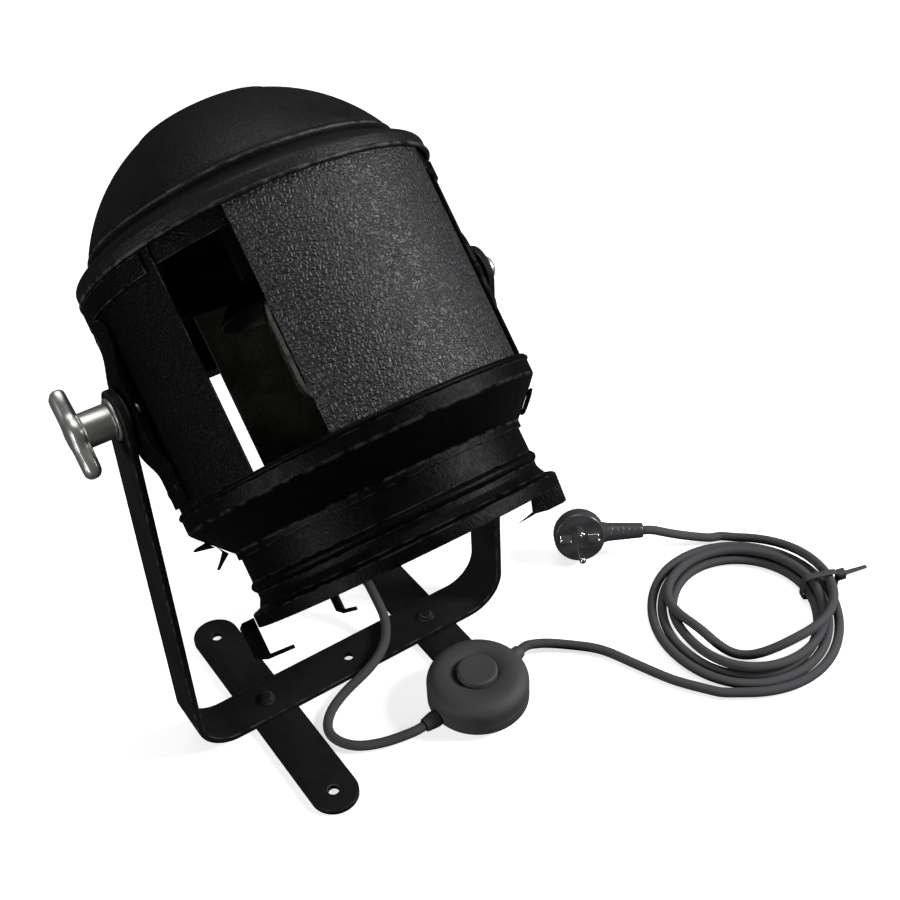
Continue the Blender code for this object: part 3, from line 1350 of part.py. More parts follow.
def plug_body(frame):
    """Moulded plug: round body with a recess-free face and a ribbed boot at its side."""
    depth = PLUG_DEPTH
    outline = [
        (0.0, 0.0), (PLUG_RADIUS * 0.94, 0.0), (PLUG_RADIUS, depth * 0.10), (PLUG_RADIUS, depth * 0.62),
        (PLUG_RADIUS * 0.93, depth * 0.85), (PLUG_RADIUS * 0.78, depth), (0.0, depth),
    ]
    body = lathe("plug_body", outline, PLUG_PLASTIC, None, 32)
    bore = CORD_RADIUS + CORD_GAP
    ribs = []
    count = 5
    root = PLUG_RADIUS * 0.60
    reach = PLUG_RADIUS + BOOT_LENGTH
    rib_start = PLUG_RADIUS * 1.18
    ribs.append((0.0, -root))
    ribs.append((BOOT_ROOT_RADIUS, -root))
    ribs.append((BOOT_ROOT_RADIUS * 0.86, -rib_start))
    for index in range(count):
        share = index / count
        width = (reach - rib_start) / count
        here = rib_start + width * index
        radius = BOOT_ROOT_RADIUS * 0.86 + (BOOT_TIP_RADIUS - BOOT_ROOT_RADIUS * 0.86) * share
        ribs.append((radius * 0.90, -here - width * 0.12))
        ribs.append((radius * 0.90, -here - width * 0.38))
        ribs.append((radius, -here - width * 0.50))
        ribs.append((radius, -here - width * 0.92))
    ribs.append((BOOT_TIP_RADIUS * 0.9, -reach))
    ribs.append((bore, -reach))
    ribs.append((bore, -reach + CORD_RADIUS * 2))
    ribs.append((0.0, -reach + CORD_RADIUS * 2))
    boot = lathe("plug_boot", ribs, PLUG_PLASTIC, None, SMALL_SIDES)
    body.matrix_world = frame
    boot.matrix_world = frame @ Matrix.Translation((0.0, 0.0, -depth * 0.5)) @ Matrix.Rotation(math.pi / 2, 4, "Y")
    bpy.context.view_layer.update()
    for side in (-1.0, 1.0):
        rod = rod_cutter(PIN_RADIUS + CORD_GAP, PIN_LENGTH * 0.6, (0.0, 0.0, 0.0), (0.0, 0.0, 0.0))
        rod.matrix_world = frame @ Matrix.Translation((0.0, side * PIN_SPREAD, 0.0))
        bpy.context.view_layer.update()
        cut_away(body, rod)
    join = body.modifiers.new("join", "BOOLEAN")
    join.operation = "UNION"
    join.solver = "EXACT"
    join.object = boot
    graph = bpy.context.evaluated_depsgraph_get()
    mesh = bpy.data.meshes.new_from_object(body.evaluated_get(graph))
    body.modifiers.remove(join)
    body.data = mesh
    mesh.shade_smooth()
    mesh.set_sharp_from_angle(angle=SHARP_ANGLE)
    bpy.data.objects.remove(boot)
    return body


def plug_metal(frame):
    """Two round pins and the two side earth contacts."""
    root = PIN_LENGTH * 0.3 - SEAT_GAP
    for name, side in (("plug_pin_upper", 1.0), ("plug_pin_lower", -1.0)):
        tip = PIN_LENGTH
        outline = [
            (0.0, root), (PIN_RADIUS, root), (PIN_RADIUS, -tip + PIN_RADIUS),
            (PIN_RADIUS * 0.82, -tip + PIN_RADIUS * 0.42), (PIN_RADIUS * 0.45, -tip + PIN_RADIUS * 0.1), (0.0, -tip),
        ]
        pin = lathe(name, outline, PIN_NICKEL, None, SMALL_SIDES)
        pin.matrix_world = frame @ Matrix.Translation((0.0, side * PIN_SPREAD, 0.0))
    for name, side in (("earth_contact_outer", -1.0), ("earth_contact_inner", 1.0)):
        half = EARTH_WIDTH / 2
        profile = (
            (side * (PLUG_RADIUS - EARTH_OFFSET) * 1.4, SEAT_GAP),
            (side * (EARTH_OFFSET - EARTH_THICK), SEAT_GAP),
            (side * EARTH_OFFSET, SEAT_GAP + EARTH_THICK),
        )
        vertices = []
        for x, z in profile:
            for y in (-half, half):
                vertices.append(Vector((x, y, z)))
                vertices.append(Vector((x, y, z + EARTH_THICK)))
        order = (0, 1, 3, 2)
        item = new_object(name, vertices, strip_faces(3, 4, order), PIN_NICKEL)
        item.matrix_world = frame


def cords(head):
    """Lead from the lamp to the switch, on to the coil, and from the coil to the plug."""
    bpy.context.view_layer.update()
    reach = SEAT_GAP + GLAND_LENGTH
    start = head.matrix_world @ Vector((GLAND_X, -GLAND_HEIGHT, -TRAY_FRONT_STATION - reach - CORD_GAP))
    way = (head.matrix_world.to_3x3() @ Vector((0.0, 0.0, -1.0))).normalized()
    port, out = switch_port(SWITCH_IN_ANGLE)
    end = port + out * (SLEEVE_LENGTH + CORD_GAP)
    free_lead("lamp_lead", start, way, LAMP_LEAD_ROUTE, end, out)
    coil = cord_coil()
    port, out = switch_port(SWITCH_OUT_ANGLE)
    start = port + out * (SLEEVE_LENGTH + CORD_GAP)
    into = (coil[0] - coil[1]).normalized()
    free_lead("switch_lead", start, out, SWITCH_LEAD_ROUTE, coil[0] + into * CORD_GAP, into)
    frame = plug_frame()
    plug_body(frame)
    plug_metal(frame)
    boot_way = frame.to_3x3() @ Vector((1.0, 0.0, 0.0))
    boot_end = frame @ Vector((PLUG_RADIUS + BOOT_LENGTH + CORD_GAP, 0.0, -PLUG_DEPTH * 0.5))
    leave = (coil[-1] - coil[-2]).normalized()
    free_lead("plug_lead", coil[-1] + leave * CORD_GAP, leave, PLUG_LEAD_ROUTE, boot_end, boot_way)
    cable_tie()


def build():
    """Make every piece of the lamp."""
    clear_scene()
    yoke()
    foot("left_foot", -FOOT_SPREAD)
    foot("right_foot", FOOT_SPREAD)
    foot_screw("left_foot_rivet", -FOOT_SPREAD)
    foot_screw("right_foot_rivet", FOOT_SPREAD)
    lean = math.radians(HEAD_TILT - 90.0)
    head = empty("head_pivot", (0.0, 0.0, PIVOT_HEIGHT), (lean, 0.0, 0.0))
    knob_pivot = empty("knob_pivot", (0.0, 0.0, PIVOT_HEIGHT), (lean, 0.0, 0.0))
    bpy.context.view_layer.update()
    rear_cap(head)
    body_panels(head)
    strap("left_pivot_strap", -90.0, head)
    strap("right_pivot_strap", 90.0, head)
    front_parts(head)
    front_fittings(head)
    lamp_parts(head)
    pivot_parts(head)
    hand_knob(knob_pivot)
    foot_switch()
    cords(head)


build()
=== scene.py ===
"""Looks of a black stage lamp on a flat bar stand, dressed round its fixed CAD frame."""

import logging
import math
from collections.abc import Callable, Iterable, Sequence
from dataclasses import dataclass, field
from enum import Enum
from functools import reduce

import bmesh
import bpy
from mathutils import Matrix, Vector


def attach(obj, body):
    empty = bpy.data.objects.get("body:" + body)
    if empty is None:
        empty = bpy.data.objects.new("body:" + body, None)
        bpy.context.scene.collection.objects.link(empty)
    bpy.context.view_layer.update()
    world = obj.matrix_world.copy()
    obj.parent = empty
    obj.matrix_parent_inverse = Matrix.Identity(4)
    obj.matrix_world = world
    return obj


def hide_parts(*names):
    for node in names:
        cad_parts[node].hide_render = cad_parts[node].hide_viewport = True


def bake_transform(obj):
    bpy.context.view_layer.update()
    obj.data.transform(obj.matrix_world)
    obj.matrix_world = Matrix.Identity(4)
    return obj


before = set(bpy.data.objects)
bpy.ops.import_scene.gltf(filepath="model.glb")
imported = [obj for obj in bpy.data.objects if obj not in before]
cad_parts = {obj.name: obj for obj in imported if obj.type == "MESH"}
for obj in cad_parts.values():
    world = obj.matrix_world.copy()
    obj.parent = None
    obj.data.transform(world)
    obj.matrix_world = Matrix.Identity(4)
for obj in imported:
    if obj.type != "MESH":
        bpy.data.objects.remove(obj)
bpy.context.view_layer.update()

LOG = logging.getLogger("stage_lamp")

Pair = tuple[float, float]
Triple = tuple[float, float, float]
Face = Sequence[int]

SEAT = 0.0003
SHEET = 0.0013
PIVOT_HEIGHT = 0.2601
HEAD_TILT = 44.26
HEAD_PLACE = Matrix.Translation((0.0, 0.0, PIVOT_HEIGHT)) @ Matrix.Rotation(
    math.radians(HEAD_TILT - 90.0), 4, "X")
PANEL_RADIUS = 0.0999
PANEL_SHEET = 0.0012
STRAP_RAISED = 0.1070
YOKE_HALF_WIDTH = 0.11307
BAR_THICK = 0.004
CAP_END = -0.1295
CORD_RADIUS = 0.00315
GLAND_PLACE = (0.0040, 0.1120, 0.0190)
ROUND = 192
SHEET_SIDES = 72
SHEET_ROWS = 8
EDGE_WIDTH = 0.00045
EDGE_TURN = math.radians(9.0)
SPECK_SCALE = 260.0
SCRATCH_SCALE = 60.0
VECTOR = "NodeSocketVector"
NUMBER = "NodeSocketFloat"


class Body(Enum):
    """The bodies of the frame."""

    STAND = "stand"
    HEAD = "head"
    KNOB = "knob"
    BUTTON = "button"


class Slot(Enum):
    """The material slots of the record."""

    BODY_PAINT = "black_wrinkle_paint"
    STAND_PAINT = "black_stand_paint"
    INNER_PAINT = "dusty_inner_paint"
    ALUMINIUM = "cast_aluminium"
    STEEL = "dull_steel"
    FIBRE = "dark_fibre"
    MIRROR = "reflector_metal"
    HOLDER = "holder_ceramic"
    BRASS = "cap_brass"
    GLASS = "clear_glass"
    SWITCH = "switch_plastic"
    CORD = "cord_sheath"
    PLUG = "plug_plastic"
    NICKEL = "nickel_pins"
    TIE = "tie_plastic"


class Grain(Enum):
    """Ways a surface is rough."""

    WRINKLED = "wrinkled"
    ORANGE_PEEL = "orange_peel"
    CAST = "cast"
    TURNED = "turned"
    MOULDED = "moulded"


# Node trees


class Sheet:
    """Adds and joins the nodes of one tree."""

    def __init__(self, tree: bpy.types.NodeTree) -> None:
        """Keep the tree to work on."""
        self.tree = tree

    @classmethod
    def of(cls, owner: bpy.types.ID) -> "Sheet":
        """Start on the emptied node tree of a material or a world."""
        owner.use_nodes = True
        owner.node_tree.nodes.clear()
        return cls(owner.node_tree)

    def add(self, kind: str, inputs: dict | None = None, **settings: object) -> bpy.types.Node:
        """Add one node.

        Args:
            kind: Blender's name of the node type.
            inputs: Socket name or number to a value, or to a socket to join.
            settings: Properties of the node itself.

        Returns:
            The new node.
        """
        node = self.tree.nodes.new(kind)
        for key, value in settings.items():
            setattr(node, key, value)
        for key, value in (inputs or {}).items():
            if isinstance(value, bpy.types.NodeSocket):
                self.tree.links.new(value, node.inputs[key])
            else:
                node.inputs[key].default_value = value
        return node

    def math(self, operation: str, *values: object) -> bpy.types.NodeSocket:
        """Join values with a math node and return its result."""
        return self.add("ShaderNodeMath", dict(enumerate(values)), operation=operation).outputs[0]

    def noise(self, place: object, scale: object, detail: float,
              rough: float = 0.5) -> bpy.types.NodeSocket:
        """Add a noise texture and return its value."""
        inputs = {"Vector": place, "Scale": scale, "Detail": detail, "Roughness": rough}
        return self.add("ShaderNodeTexNoise", inputs).outputs["Fac"]

    def group(self, tree: bpy.types.NodeTree, *values: object) -> bpy.types.Node:
        """Add a node group with its inputs in order."""
        return self.add("ShaderNodeGroup", dict(enumerate(values)), node_tree=tree)

    def ramp(self, value: object, low: float, high: float,
             start: float = 0.0, end: float = 1.0) -> bpy.types.NodeSocket:
        """Map a value smoothly from one span to another."""
        spans = {"Value": value, "From Min": low, "From Max": high, "To Min": start, "To Max": end}
        return self.add("ShaderNodeMapRange", spans, interpolation_type="SMOOTHSTEP").outputs["Result"]

    def mix(self, share: object, first: object, second: object) -> bpy.types.NodeSocket:
        """Mix two colours by a share."""
        return self.add("ShaderNodeMix", {0: share, 6: first, 7: second}, data_type="RGBA").outputs[2]


def shared_group(name: str, inputs: Iterable[tuple[str, str]], outputs: Iterable[tuple[str, str]],
                 fill: Callable[[Sheet, bpy.types.Node, bpy.types.Node], None]) -> bpy.types.NodeTree:
    """Make a shader node group once and give it back each time it is asked for.

    Args:
        name: Name of the group.
        inputs: Socket names and types that go in.
        outputs: Socket names and types that come out.
        fill: Function that draws the inside of the group.

    Returns:
        The node group.
    """
    found = bpy.data.node_groups.get(name)
    if found:
        return found
    group = bpy.data.node_groups.new(name, "ShaderNodeTree")
    for title, kind in inputs:
        group.interface.new_socket(title, in_out="INPUT", socket_type=kind)
    for title, kind in outputs:
        group.interface.new_socket(title, in_out="OUTPUT", socket_type=kind)
    sheet = Sheet(group)
    fill(sheet, sheet.add("NodeGroupInput"), sheet.add("NodeGroupOutput"))
    return group


def draw_wrinkles(sheet: Sheet, start: bpy.types.Node, end: bpy.types.Node) -> None:
    """Draw the wrinkled paint: pulled cells with soft creases between them."""
    place, scale = start.outputs[0], start.outputs[1]
    warp = sheet.add("ShaderNodeTexNoise", {"Vector": place, "Scale": scale, "Detail": 2.0})
    bend = sheet.add("ShaderNodeVectorMath", {0: warp.outputs["Color"], "Scale": 0.0016}, operation="SCALE")
    moved = sheet.add("ShaderNodeVectorMath", {0: place, 1: bend.outputs[0]}, operation="ADD").outputs[0]
    cells = sheet.add("ShaderNodeTexVoronoi", {"Vector": moved, "Scale": scale}, feature="DISTANCE_TO_EDGE")
    small = sheet.noise(moved, sheet.math("MULTIPLY", scale, 2.3), 3.0, 0.65)
    crease = sheet.math("MULTIPLY", sheet.ramp(cells.outputs[0], 0.0, 0.32), 0.65)
    height = sheet.math("MULTIPLY_ADD", small, 0.55, crease)
    # Low in the creases between cells: there the finish paints shade.
    skin = sheet.math("MULTIPLY", sheet.ramp(small, 0.40, 0.56), sheet.ramp(cells.outputs[0], 0.0, 0.16))
    sheet.tree.links.new(height, end.inputs[0])
    sheet.tree.links.new(skin, end.inputs[1])


def draw_specks(sheet: Sheet, start: bpy.types.Node, end: bpy.types.Node) -> None:
    """Draw scattered dust specks that gather in patches."""
    place, scale, amount = start.outputs[0], start.outputs[1], start.outputs[2]
    spots = sheet.add("ShaderNodeTexVoronoi", {"Vector": place, "Scale": scale, "Randomness": 1.0})
    patch = sheet.noise(place, sheet.math("MULTIPLY", scale, 0.09), 2.0)
    size = sheet.math("MULTIPLY", sheet.ramp(patch, 0.45, 0.75, 0.02, 0.20), amount)
    sheet.tree.links.new(sheet.math("LESS_THAN", spots.outputs["Distance"], size), end.inputs[0])


def draw_scratches(sheet: Sheet, start: bpy.types.Node, end: bpy.types.Node) -> None:
    """Draw thin rubbed lines that run in several directions."""
    lines = []
    for turn, stretch in ((0.4, 9.0), (1.5, 14.0), (2.5, 11.0)):
        placed = sheet.add("ShaderNodeMapping", {
            "Vector": start.outputs[0], "Rotation": (turn, turn * 0.7, turn), "Scale": (1.0, stretch, 1.0)})
        line = sheet.add("ShaderNodeTexNoise", {
            "Vector": placed.outputs[0], "Scale": start.outputs[1], "Detail": 1.0, "Distortion": 0.3})
        lines.append(sheet.ramp(line.outputs["Fac"], 0.70, 0.76))
    total = reduce(lambda one, other: sheet.math("MAXIMUM", one, other), lines)
    sheet.tree.links.new(sheet.math("MULTIPLY", total, start.outputs[2]), end.inputs[0])


def wrinkle_group() -> bpy.types.NodeTree:
    """Give the wrinkle group."""
    ends = (("Height", NUMBER), ("Cells", NUMBER))
    return shared_group("paint_wrinkles", (("Place", VECTOR), ("Scale", NUMBER)), ends, draw_wrinkles)


def mask_group(name: str,
               draw: Callable[[Sheet, bpy.types.Node, bpy.types.Node], None]) -> bpy.types.NodeTree:
    """Give a group that turns a place, a scale and an amount into a mask."""
    starts = (("Place", VECTOR), ("Scale", NUMBER), ("Amount", NUMBER))
    return shared_group(name, starts, (("Mask", NUMBER),), draw)


# Finishes


@dataclass(frozen=True)
class Finish:
    """One surface: its colours, gloss, grain, wear and painted shade in the hollows of its grain."""

    name: str
    slot: Slot
    colour: Triple
    blotch: Triple
    worn: Triple
    roughness: float = 0.5
    metallic: float = 0.0
    specular: float = 0.3
    grain: Grain = Grain.MOULDED
    grain_scale: float = 500.0
    grain_depth: float = 0.00008
    specks: float = 0.0
    scratches: float = 0.0
    edge_wear: float = 0.0
    # Share of painted shade in the hollows of the grain.
    hollow_shade: float = 0.35

    def material(self) -> bpy.types.Material:
        """Build the material, or give it back if it exists."""
        found = bpy.data.materials.get(self.name)
        if found:
            return found
        made = bpy.data.materials.new(self.name)
        self.draw(Sheet.of(made))
        return made

    def height(self, sheet: Sheet, place: bpy.types.NodeSocket) -> tuple[bpy.types.NodeSocket, ...]:
        """Draw the grain.

        Args:
            sheet: The material's tree.
            place: Object coordinates.

        Returns:
            The height of the grain and a mask of its hollows, where the finish paints shade.
        """
        scale = self.grain_scale
        if self.grain is Grain.WRINKLED:
            node = sheet.group(wrinkle_group(), place, scale)
            return node.outputs[0], node.outputs[1]
        if self.grain is Grain.CAST:
            cells = sheet.add(
                "ShaderNodeTexVoronoi", {"Vector": place, "Scale": scale}, feature="SMOOTH_F1")
            rough = sheet.noise(place, scale * 0.6, 6.0, 0.75)
            return sheet.math("ADD", cells.outputs["Distance"], rough), rough
        if self.grain is Grain.TURNED:
            stretched = sheet.add("ShaderNodeMapping", {"Vector": place, "Scale": (9.0, 1.0, 1.0)})
            rings = sheet.noise(stretched.outputs[0], scale, 3.0)
            return rings, rings
        soft = sheet.noise(place, scale, 4.0, 0.6)
        return soft, soft

    def marks(self, sheet: Sheet, place: bpy.types.NodeSocket,
              fine: bpy.types.NodeSocket) -> list[bpy.types.NodeSocket]:
        """Draw the masks of the worn colour: dust specks, rubbed lines and rubbed edges."""
        masks = []
        for amount, scale, name, draw in (
            (self.specks, SPECK_SCALE, "dust_specks", draw_specks),
            (self.scratches, SCRATCH_SCALE, "rubbed_lines", draw_scratches),
        ):
            if amount:
                masks.append(sheet.group(mask_group(name, draw), place, scale, amount).outputs[0])
        if self.edge_wear:
            edge = sheet.add("ShaderNodeAttribute", attribute_name="edge_wear").outputs["Fac"]
            patchy = sheet.math("MULTIPLY", edge, sheet.ramp(fine, 0.40, 0.62))
            masks.append(sheet.math("MULTIPLY", patchy, self.edge_wear))
        return masks

    def draw(self, sheet: Sheet) -> None:
        """Draw the whole material."""
        place = sheet.add("ShaderNodeTexCoord").outputs["Object"]
        height, hollow = self.height(sheet, place)
        fine = sheet.noise(place, 150.0, 3.0)
        cloud = sheet.ramp(sheet.noise(place, 28.0, 4.0, 0.6), 0.35, 0.70)
        colour = sheet.mix(cloud, (*self.colour, 1.0), (*self.blotch, 1.0))
        # Painted shade: the colour darkens towards an eighth of itself in the hollows of the grain.
        hollow_shade = sheet.ramp(hollow, 0.10, 0.70, self.hollow_shade, 0.0)
        colour = sheet.mix(hollow_shade, colour, tuple(c * 0.12 for c in self.colour) + (1.0,))
        masks = self.marks(sheet, place, fine)
        if masks:
            mark = reduce(lambda one, other: sheet.math("MAXIMUM", one, other), masks)
            colour = sheet.mix(mark, colour, (*self.worn, 1.0))
        gloss = sheet.ramp(fine, 0.3, 0.7, self.roughness * 0.86, min(1.0, self.roughness * 1.14))
        bump = sheet.add("ShaderNodeBump", {
            "Height": height, "Distance": self.grain_depth, "Strength": 1.0})
        shader = sheet.add("ShaderNodeBsdfPrincipled", {
            "Base Color": colour, "Roughness": gloss, "Metallic": self.metallic, "Normal": bump.outputs[0],
            "Specular IOR Level": self.specular})
        sheet.add("ShaderNodeOutputMaterial", {"Surface": shader.outputs[0]})


@dataclass(frozen=True)
class Glass(Finish):
    """Clear glass with a thin film of dust."""

    def draw(self, sheet: Sheet) -> None:
        """Draw clear glass: transmission, faint waviness and settled dust."""
        place = sheet.add("ShaderNodeTexCoord").outputs["Object"]
        film = sheet.noise(place, 90.0, 6.0, 0.7)
        bump = sheet.add("ShaderNodeBump", {
            "Height": sheet.noise(place, self.grain_scale, 2.0), "Distance": self.grain_depth})
        tint = sheet.mix(sheet.ramp(film, 0.4, 0.7), (*self.colour, 1.0), (*self.blotch, 1.0))
        gloss = sheet.ramp(film, 0.4, 0.8, self.roughness, self.roughness * 4)
        clear = sheet.add("ShaderNodeBsdfPrincipled", {
            "Base Color": tint, "Roughness": gloss, "Transmission Weight": 1.0, "IOR": 1.46,
            "Normal": bump.outputs[0]})
        sheet.add("ShaderNodeOutputMaterial", {"Surface": clear.outputs[0]})


# Lit copy of the black wrinkle paint for the top panel: its lighter colour is painted light, against the
# shaded copies below.
BODY_PAINT = Finish(
    "lit_body_paint", Slot.BODY_PAINT, (0.0150, 0.0156, 0.0200), (0.0100, 0.0102, 0.0130), (0.16, 0.155, 0.125),
    roughness=0.44, specular=0.50, grain=Grain.WRINKLED, grain_scale=430.0, grain_depth=0.00055,
    specks=0.10, edge_wear=0.40, hollow_shade=0.85)
# Shaded copy of the black wrinkle paint for the front ring, tube and hooks: near black with little gloss,
# painted shade.
SHADED_RING_PAINT = Finish(
    "shaded_ring_paint", Slot.BODY_PAINT, (0.0016, 0.0016, 0.0018), (0.0010, 0.0010, 0.0011), (0.05, 0.05, 0.045),
    roughness=0.45, specular=0.07, grain=Grain.ORANGE_PEEL, grain_scale=520.0, grain_depth=0.00035,
    specks=0.10, scratches=0.02, edge_wear=0.45)
CAP_PAINT = Finish(
    "cap_paint", Slot.BODY_PAINT, (0.0085, 0.0087, 0.0104), (0.0040, 0.0040, 0.0048), (0.14, 0.14, 0.12),
    roughness=0.46, specular=0.24, grain=Grain.ORANGE_PEEL, grain_scale=700.0, grain_depth=0.00040,
    specks=0.22, scratches=0.02, edge_wear=0.40, hollow_shade=0.6)
# Shaded copy of the black wrinkle paint for the cheeks, straps, hoop and small pieces beside them: near black
# with little gloss, painted shade.
SHADED_SIDE_PAINT = Finish(
    "shaded_side_paint", Slot.BODY_PAINT, (0.0016, 0.0016, 0.0022), (0.0010, 0.0010, 0.0013), (0.12, 0.12, 0.11),
    roughness=0.50, specular=0.08, grain=Grain.WRINKLED, grain_scale=460.0, grain_depth=0.00040,
    specks=0.10, scratches=0.02, edge_wear=0.60)
INNER_PAINT = Finish(
    "inner_paint", Slot.INNER_PAINT, (0.018, 0.018, 0.015), (0.060, 0.059, 0.046), (0.12, 0.115, 0.085),
    roughness=0.85, specular=0.06, grain=Grain.ORANGE_PEEL, grain_scale=420.0, grain_depth=0.00020,
    specks=0.25, scratches=0.02, hollow_shade=0.5)
STAND_PAINT = Finish(
    "stand_paint", Slot.STAND_PAINT, (0.0140, 0.0140, 0.0135), (0.0080, 0.0080, 0.0078), (0.15, 0.15, 0.14),
    roughness=0.60, specular=0.10, grain=Grain.ORANGE_PEEL, grain_scale=620.0, grain_depth=0.00030,
    specks=0.08, scratches=0.02, edge_wear=0.30)
CAST_ALUMINIUM = Finish(
    "cast_aluminium", Slot.ALUMINIUM, (0.46, 0.46, 0.42), (0.20, 0.20, 0.18), (0.72, 0.72, 0.68),
    roughness=0.42, metallic=1.0, specular=0.5, grain=Grain.CAST, grain_scale=330.0, grain_depth=0.0011,
    scratches=0.30, edge_wear=0.60, hollow_shade=0.7)
STEEL = Finish(
    "dull_steel", Slot.STEEL, (0.22, 0.22, 0.20), (0.12, 0.12, 0.11), (0.45, 0.45, 0.42),
    roughness=0.40, metallic=1.0, specular=0.5, grain=Grain.TURNED, grain_scale=900.0, grain_depth=0.00004,
    scratches=0.25, edge_wear=0.40)
FIBRE = Finish(
    "dark_fibre", Slot.FIBRE, (0.020, 0.013, 0.010), (0.012, 0.008, 0.006), (0.05, 0.04, 0.03),
    roughness=0.85, specular=0.10, grain=Grain.ORANGE_PEEL, grain_scale=900.0, grain_depth=0.00008)
# The reflector's metal is dimmed far below bright aluminium: painted shade inside the head.
MIRROR = Finish(
    "shaded_reflector_mirror", Slot.MIRROR, (0.10, 0.10, 0.095), (0.05, 0.05, 0.047), (0.20, 0.20, 0.19),
    roughness=0.42, metallic=1.0, specular=0.5, grain=Grain.TURNED, grain_scale=420.0, grain_depth=0.00003,
    scratches=0.05)
HOLDER = Finish(
    "holder_ceramic", Slot.HOLDER, (0.040, 0.036, 0.030), (0.022, 0.019, 0.015), (0.10, 0.09, 0.07),
    roughness=0.40, specular=0.5, grain_scale=240.0, grain_depth=0.00004, specks=0.3)
BRASS = Finish(
    "cap_brass", Slot.BRASS, (0.56, 0.42, 0.17), (0.36, 0.27, 0.12), (0.70, 0.58, 0.30),
    roughness=0.33, metallic=1.0, specular=0.5, grain=Grain.TURNED, grain_scale=700.0, grain_depth=0.00003)
CLEAR_GLASS = Glass(
    "clear_glass", Slot.GLASS, (0.96, 0.97, 0.97), (0.86, 0.87, 0.85), (0.5, 0.5, 0.5),
    roughness=0.02, grain_scale=35.0, grain_depth=0.00005)
# Dark tint of the bulb glass: painted shade inside the head, which also hides the floor seen through it.
SHADED_BULB_GLASS = Glass(
    "shaded_bulb_glass", Slot.GLASS, (0.05, 0.05, 0.045), (0.025, 0.025, 0.022), (0.1, 0.1, 0.1),
    roughness=0.12, grain_scale=35.0, grain_depth=0.00005)
SWITCH_PLASTIC = Finish(
    "switch_plastic", Slot.SWITCH, (0.0010, 0.0010, 0.0011), (0.0007, 0.0007, 0.0008), (0.03, 0.03, 0.03),
    roughness=0.26, specular=0.06, grain_scale=1500.0, grain_depth=0.00002,
    specks=0.10, scratches=0.05)
CORD_SHEATH = Finish(
    "cord_sheath", Slot.CORD, (0.0012, 0.0012, 0.0013), (0.0008, 0.0008, 0.0009), (0.02, 0.02, 0.02),
    roughness=0.30, specular=0.08, grain_scale=900.0, grain_depth=0.00003)
PLUG_PLASTIC = Finish(
    "plug_plastic", Slot.PLUG, (0.0016, 0.0016, 0.0019), (0.0010, 0.0010, 0.0012), (0.04, 0.04, 0.04),
    roughness=0.34, specular=0.16, grain_scale=1600.0, grain_depth=0.00002)
NICKEL = Finish(
    "nickel_pins", Slot.NICKEL, (0.62, 0.60, 0.57), (0.42, 0.40, 0.38), (0.80, 0.79, 0.77),
    roughness=0.22, metallic=1.0, specular=0.5, grain=Grain.TURNED, grain_scale=1500.0, grain_depth=0.00001,
    scratches=0.2)
TIE_PLASTIC = Finish(
    "tie_plastic", Slot.TIE, (0.0040, 0.0040, 0.0042), (0.0030, 0.0030, 0.0031), (0.04, 0.04, 0.04),
    roughness=0.42, specular=0.25, grain_scale=1400.0, grain_depth=0.00001)


# Shapes


def mark_edges(mesh: bpy.types.Mesh) -> None:
    """Store on each face whether it is part of a rounded edge, for the worn edges of the paint."""
    values = []
    work = bmesh.new()
    work.from_mesh(mesh)
    work.normal_update()
    for face in work.faces:
        width = 2 * face.calc_area() / max(face.calc_perimeter(), 1e-9)
        turn = max((edge.calc_face_angle(0.0) for edge in face.edges), default=0.0)
        values.append(1.0 if width < EDGE_WIDTH and EDGE_TURN < turn else 0.0)
    work.free()
    attribute = mesh.attributes.get("edge_wear") or mesh.attributes.new("edge_wear", "FLOAT", "FACE")
    attribute.data.foreach_set("value", values)


def settle(item: bpy.types.Object) -> bpy.types.Object:
    """Turn a piece's modifiers into plain mesh."""
    graph = bpy.context.evaluated_depsgraph_get()
    mesh = bpy.data.meshes.new_from_object(item.evaluated_get(graph))
    item.modifiers.clear()
    item.data = mesh
    return item


def linked(name: str, data: bpy.types.ID) -> bpy.types.Object:
    """Make an object of some data and link it to the scene."""
    item = bpy.data.objects.new(name, data)
    bpy.context.scene.collection.objects.link(item)
    return item


def make_piece(name: str, points: Iterable[Vector], faces: Iterable[Face], place: Matrix = Matrix(),
               bevel: float = 0.0, sharp: float = 34.0) -> bpy.types.Object:
    """Make one closed mesh piece, its place in its mesh.

    Args:
        name: Name of the piece.
        points: Corners before the piece is placed.
        faces: Corner numbers of each face.
        place: Matrix that puts the points in the lamp's frame.
        bevel: Width of the rounded edges, or zero.
        sharp: Angle in degrees above which an edge shades hard.

    Returns:
        The linked object.
    """
    mesh = bpy.data.meshes.new(name)
    mesh.from_pydata([tuple(place @ Vector(p)) for p in points], [], [list(f) for f in faces])
    work = bmesh.new()
    work.from_mesh(mesh)
    bmesh.ops.remove_doubles(work, verts=work.verts[:], dist=1e-6)
    bmesh.ops.recalc_face_normals(work, faces=work.faces[:])
    work.to_mesh(mesh)
    work.free()
    return polish(linked(name, mesh), bevel, sharp)


def polish(item: bpy.types.Object, bevel: float, sharp: float = 34.0) -> bpy.types.Object:
    """Round a piece's edges, smooth its shading and store its worn edges."""
    if bevel:
        modifier = item.modifiers.new("edges", "BEVEL")
        modifier.width = bevel
        modifier.segments = 3
        modifier.limit_method = "ANGLE"
        modifier.angle_limit = math.radians(30.0)
        settle(item)
    item.data.shade_smooth()
    item.data.set_sharp_from_angle(angle=math.radians(sharp))
    mark_edges(item.data)
    return item


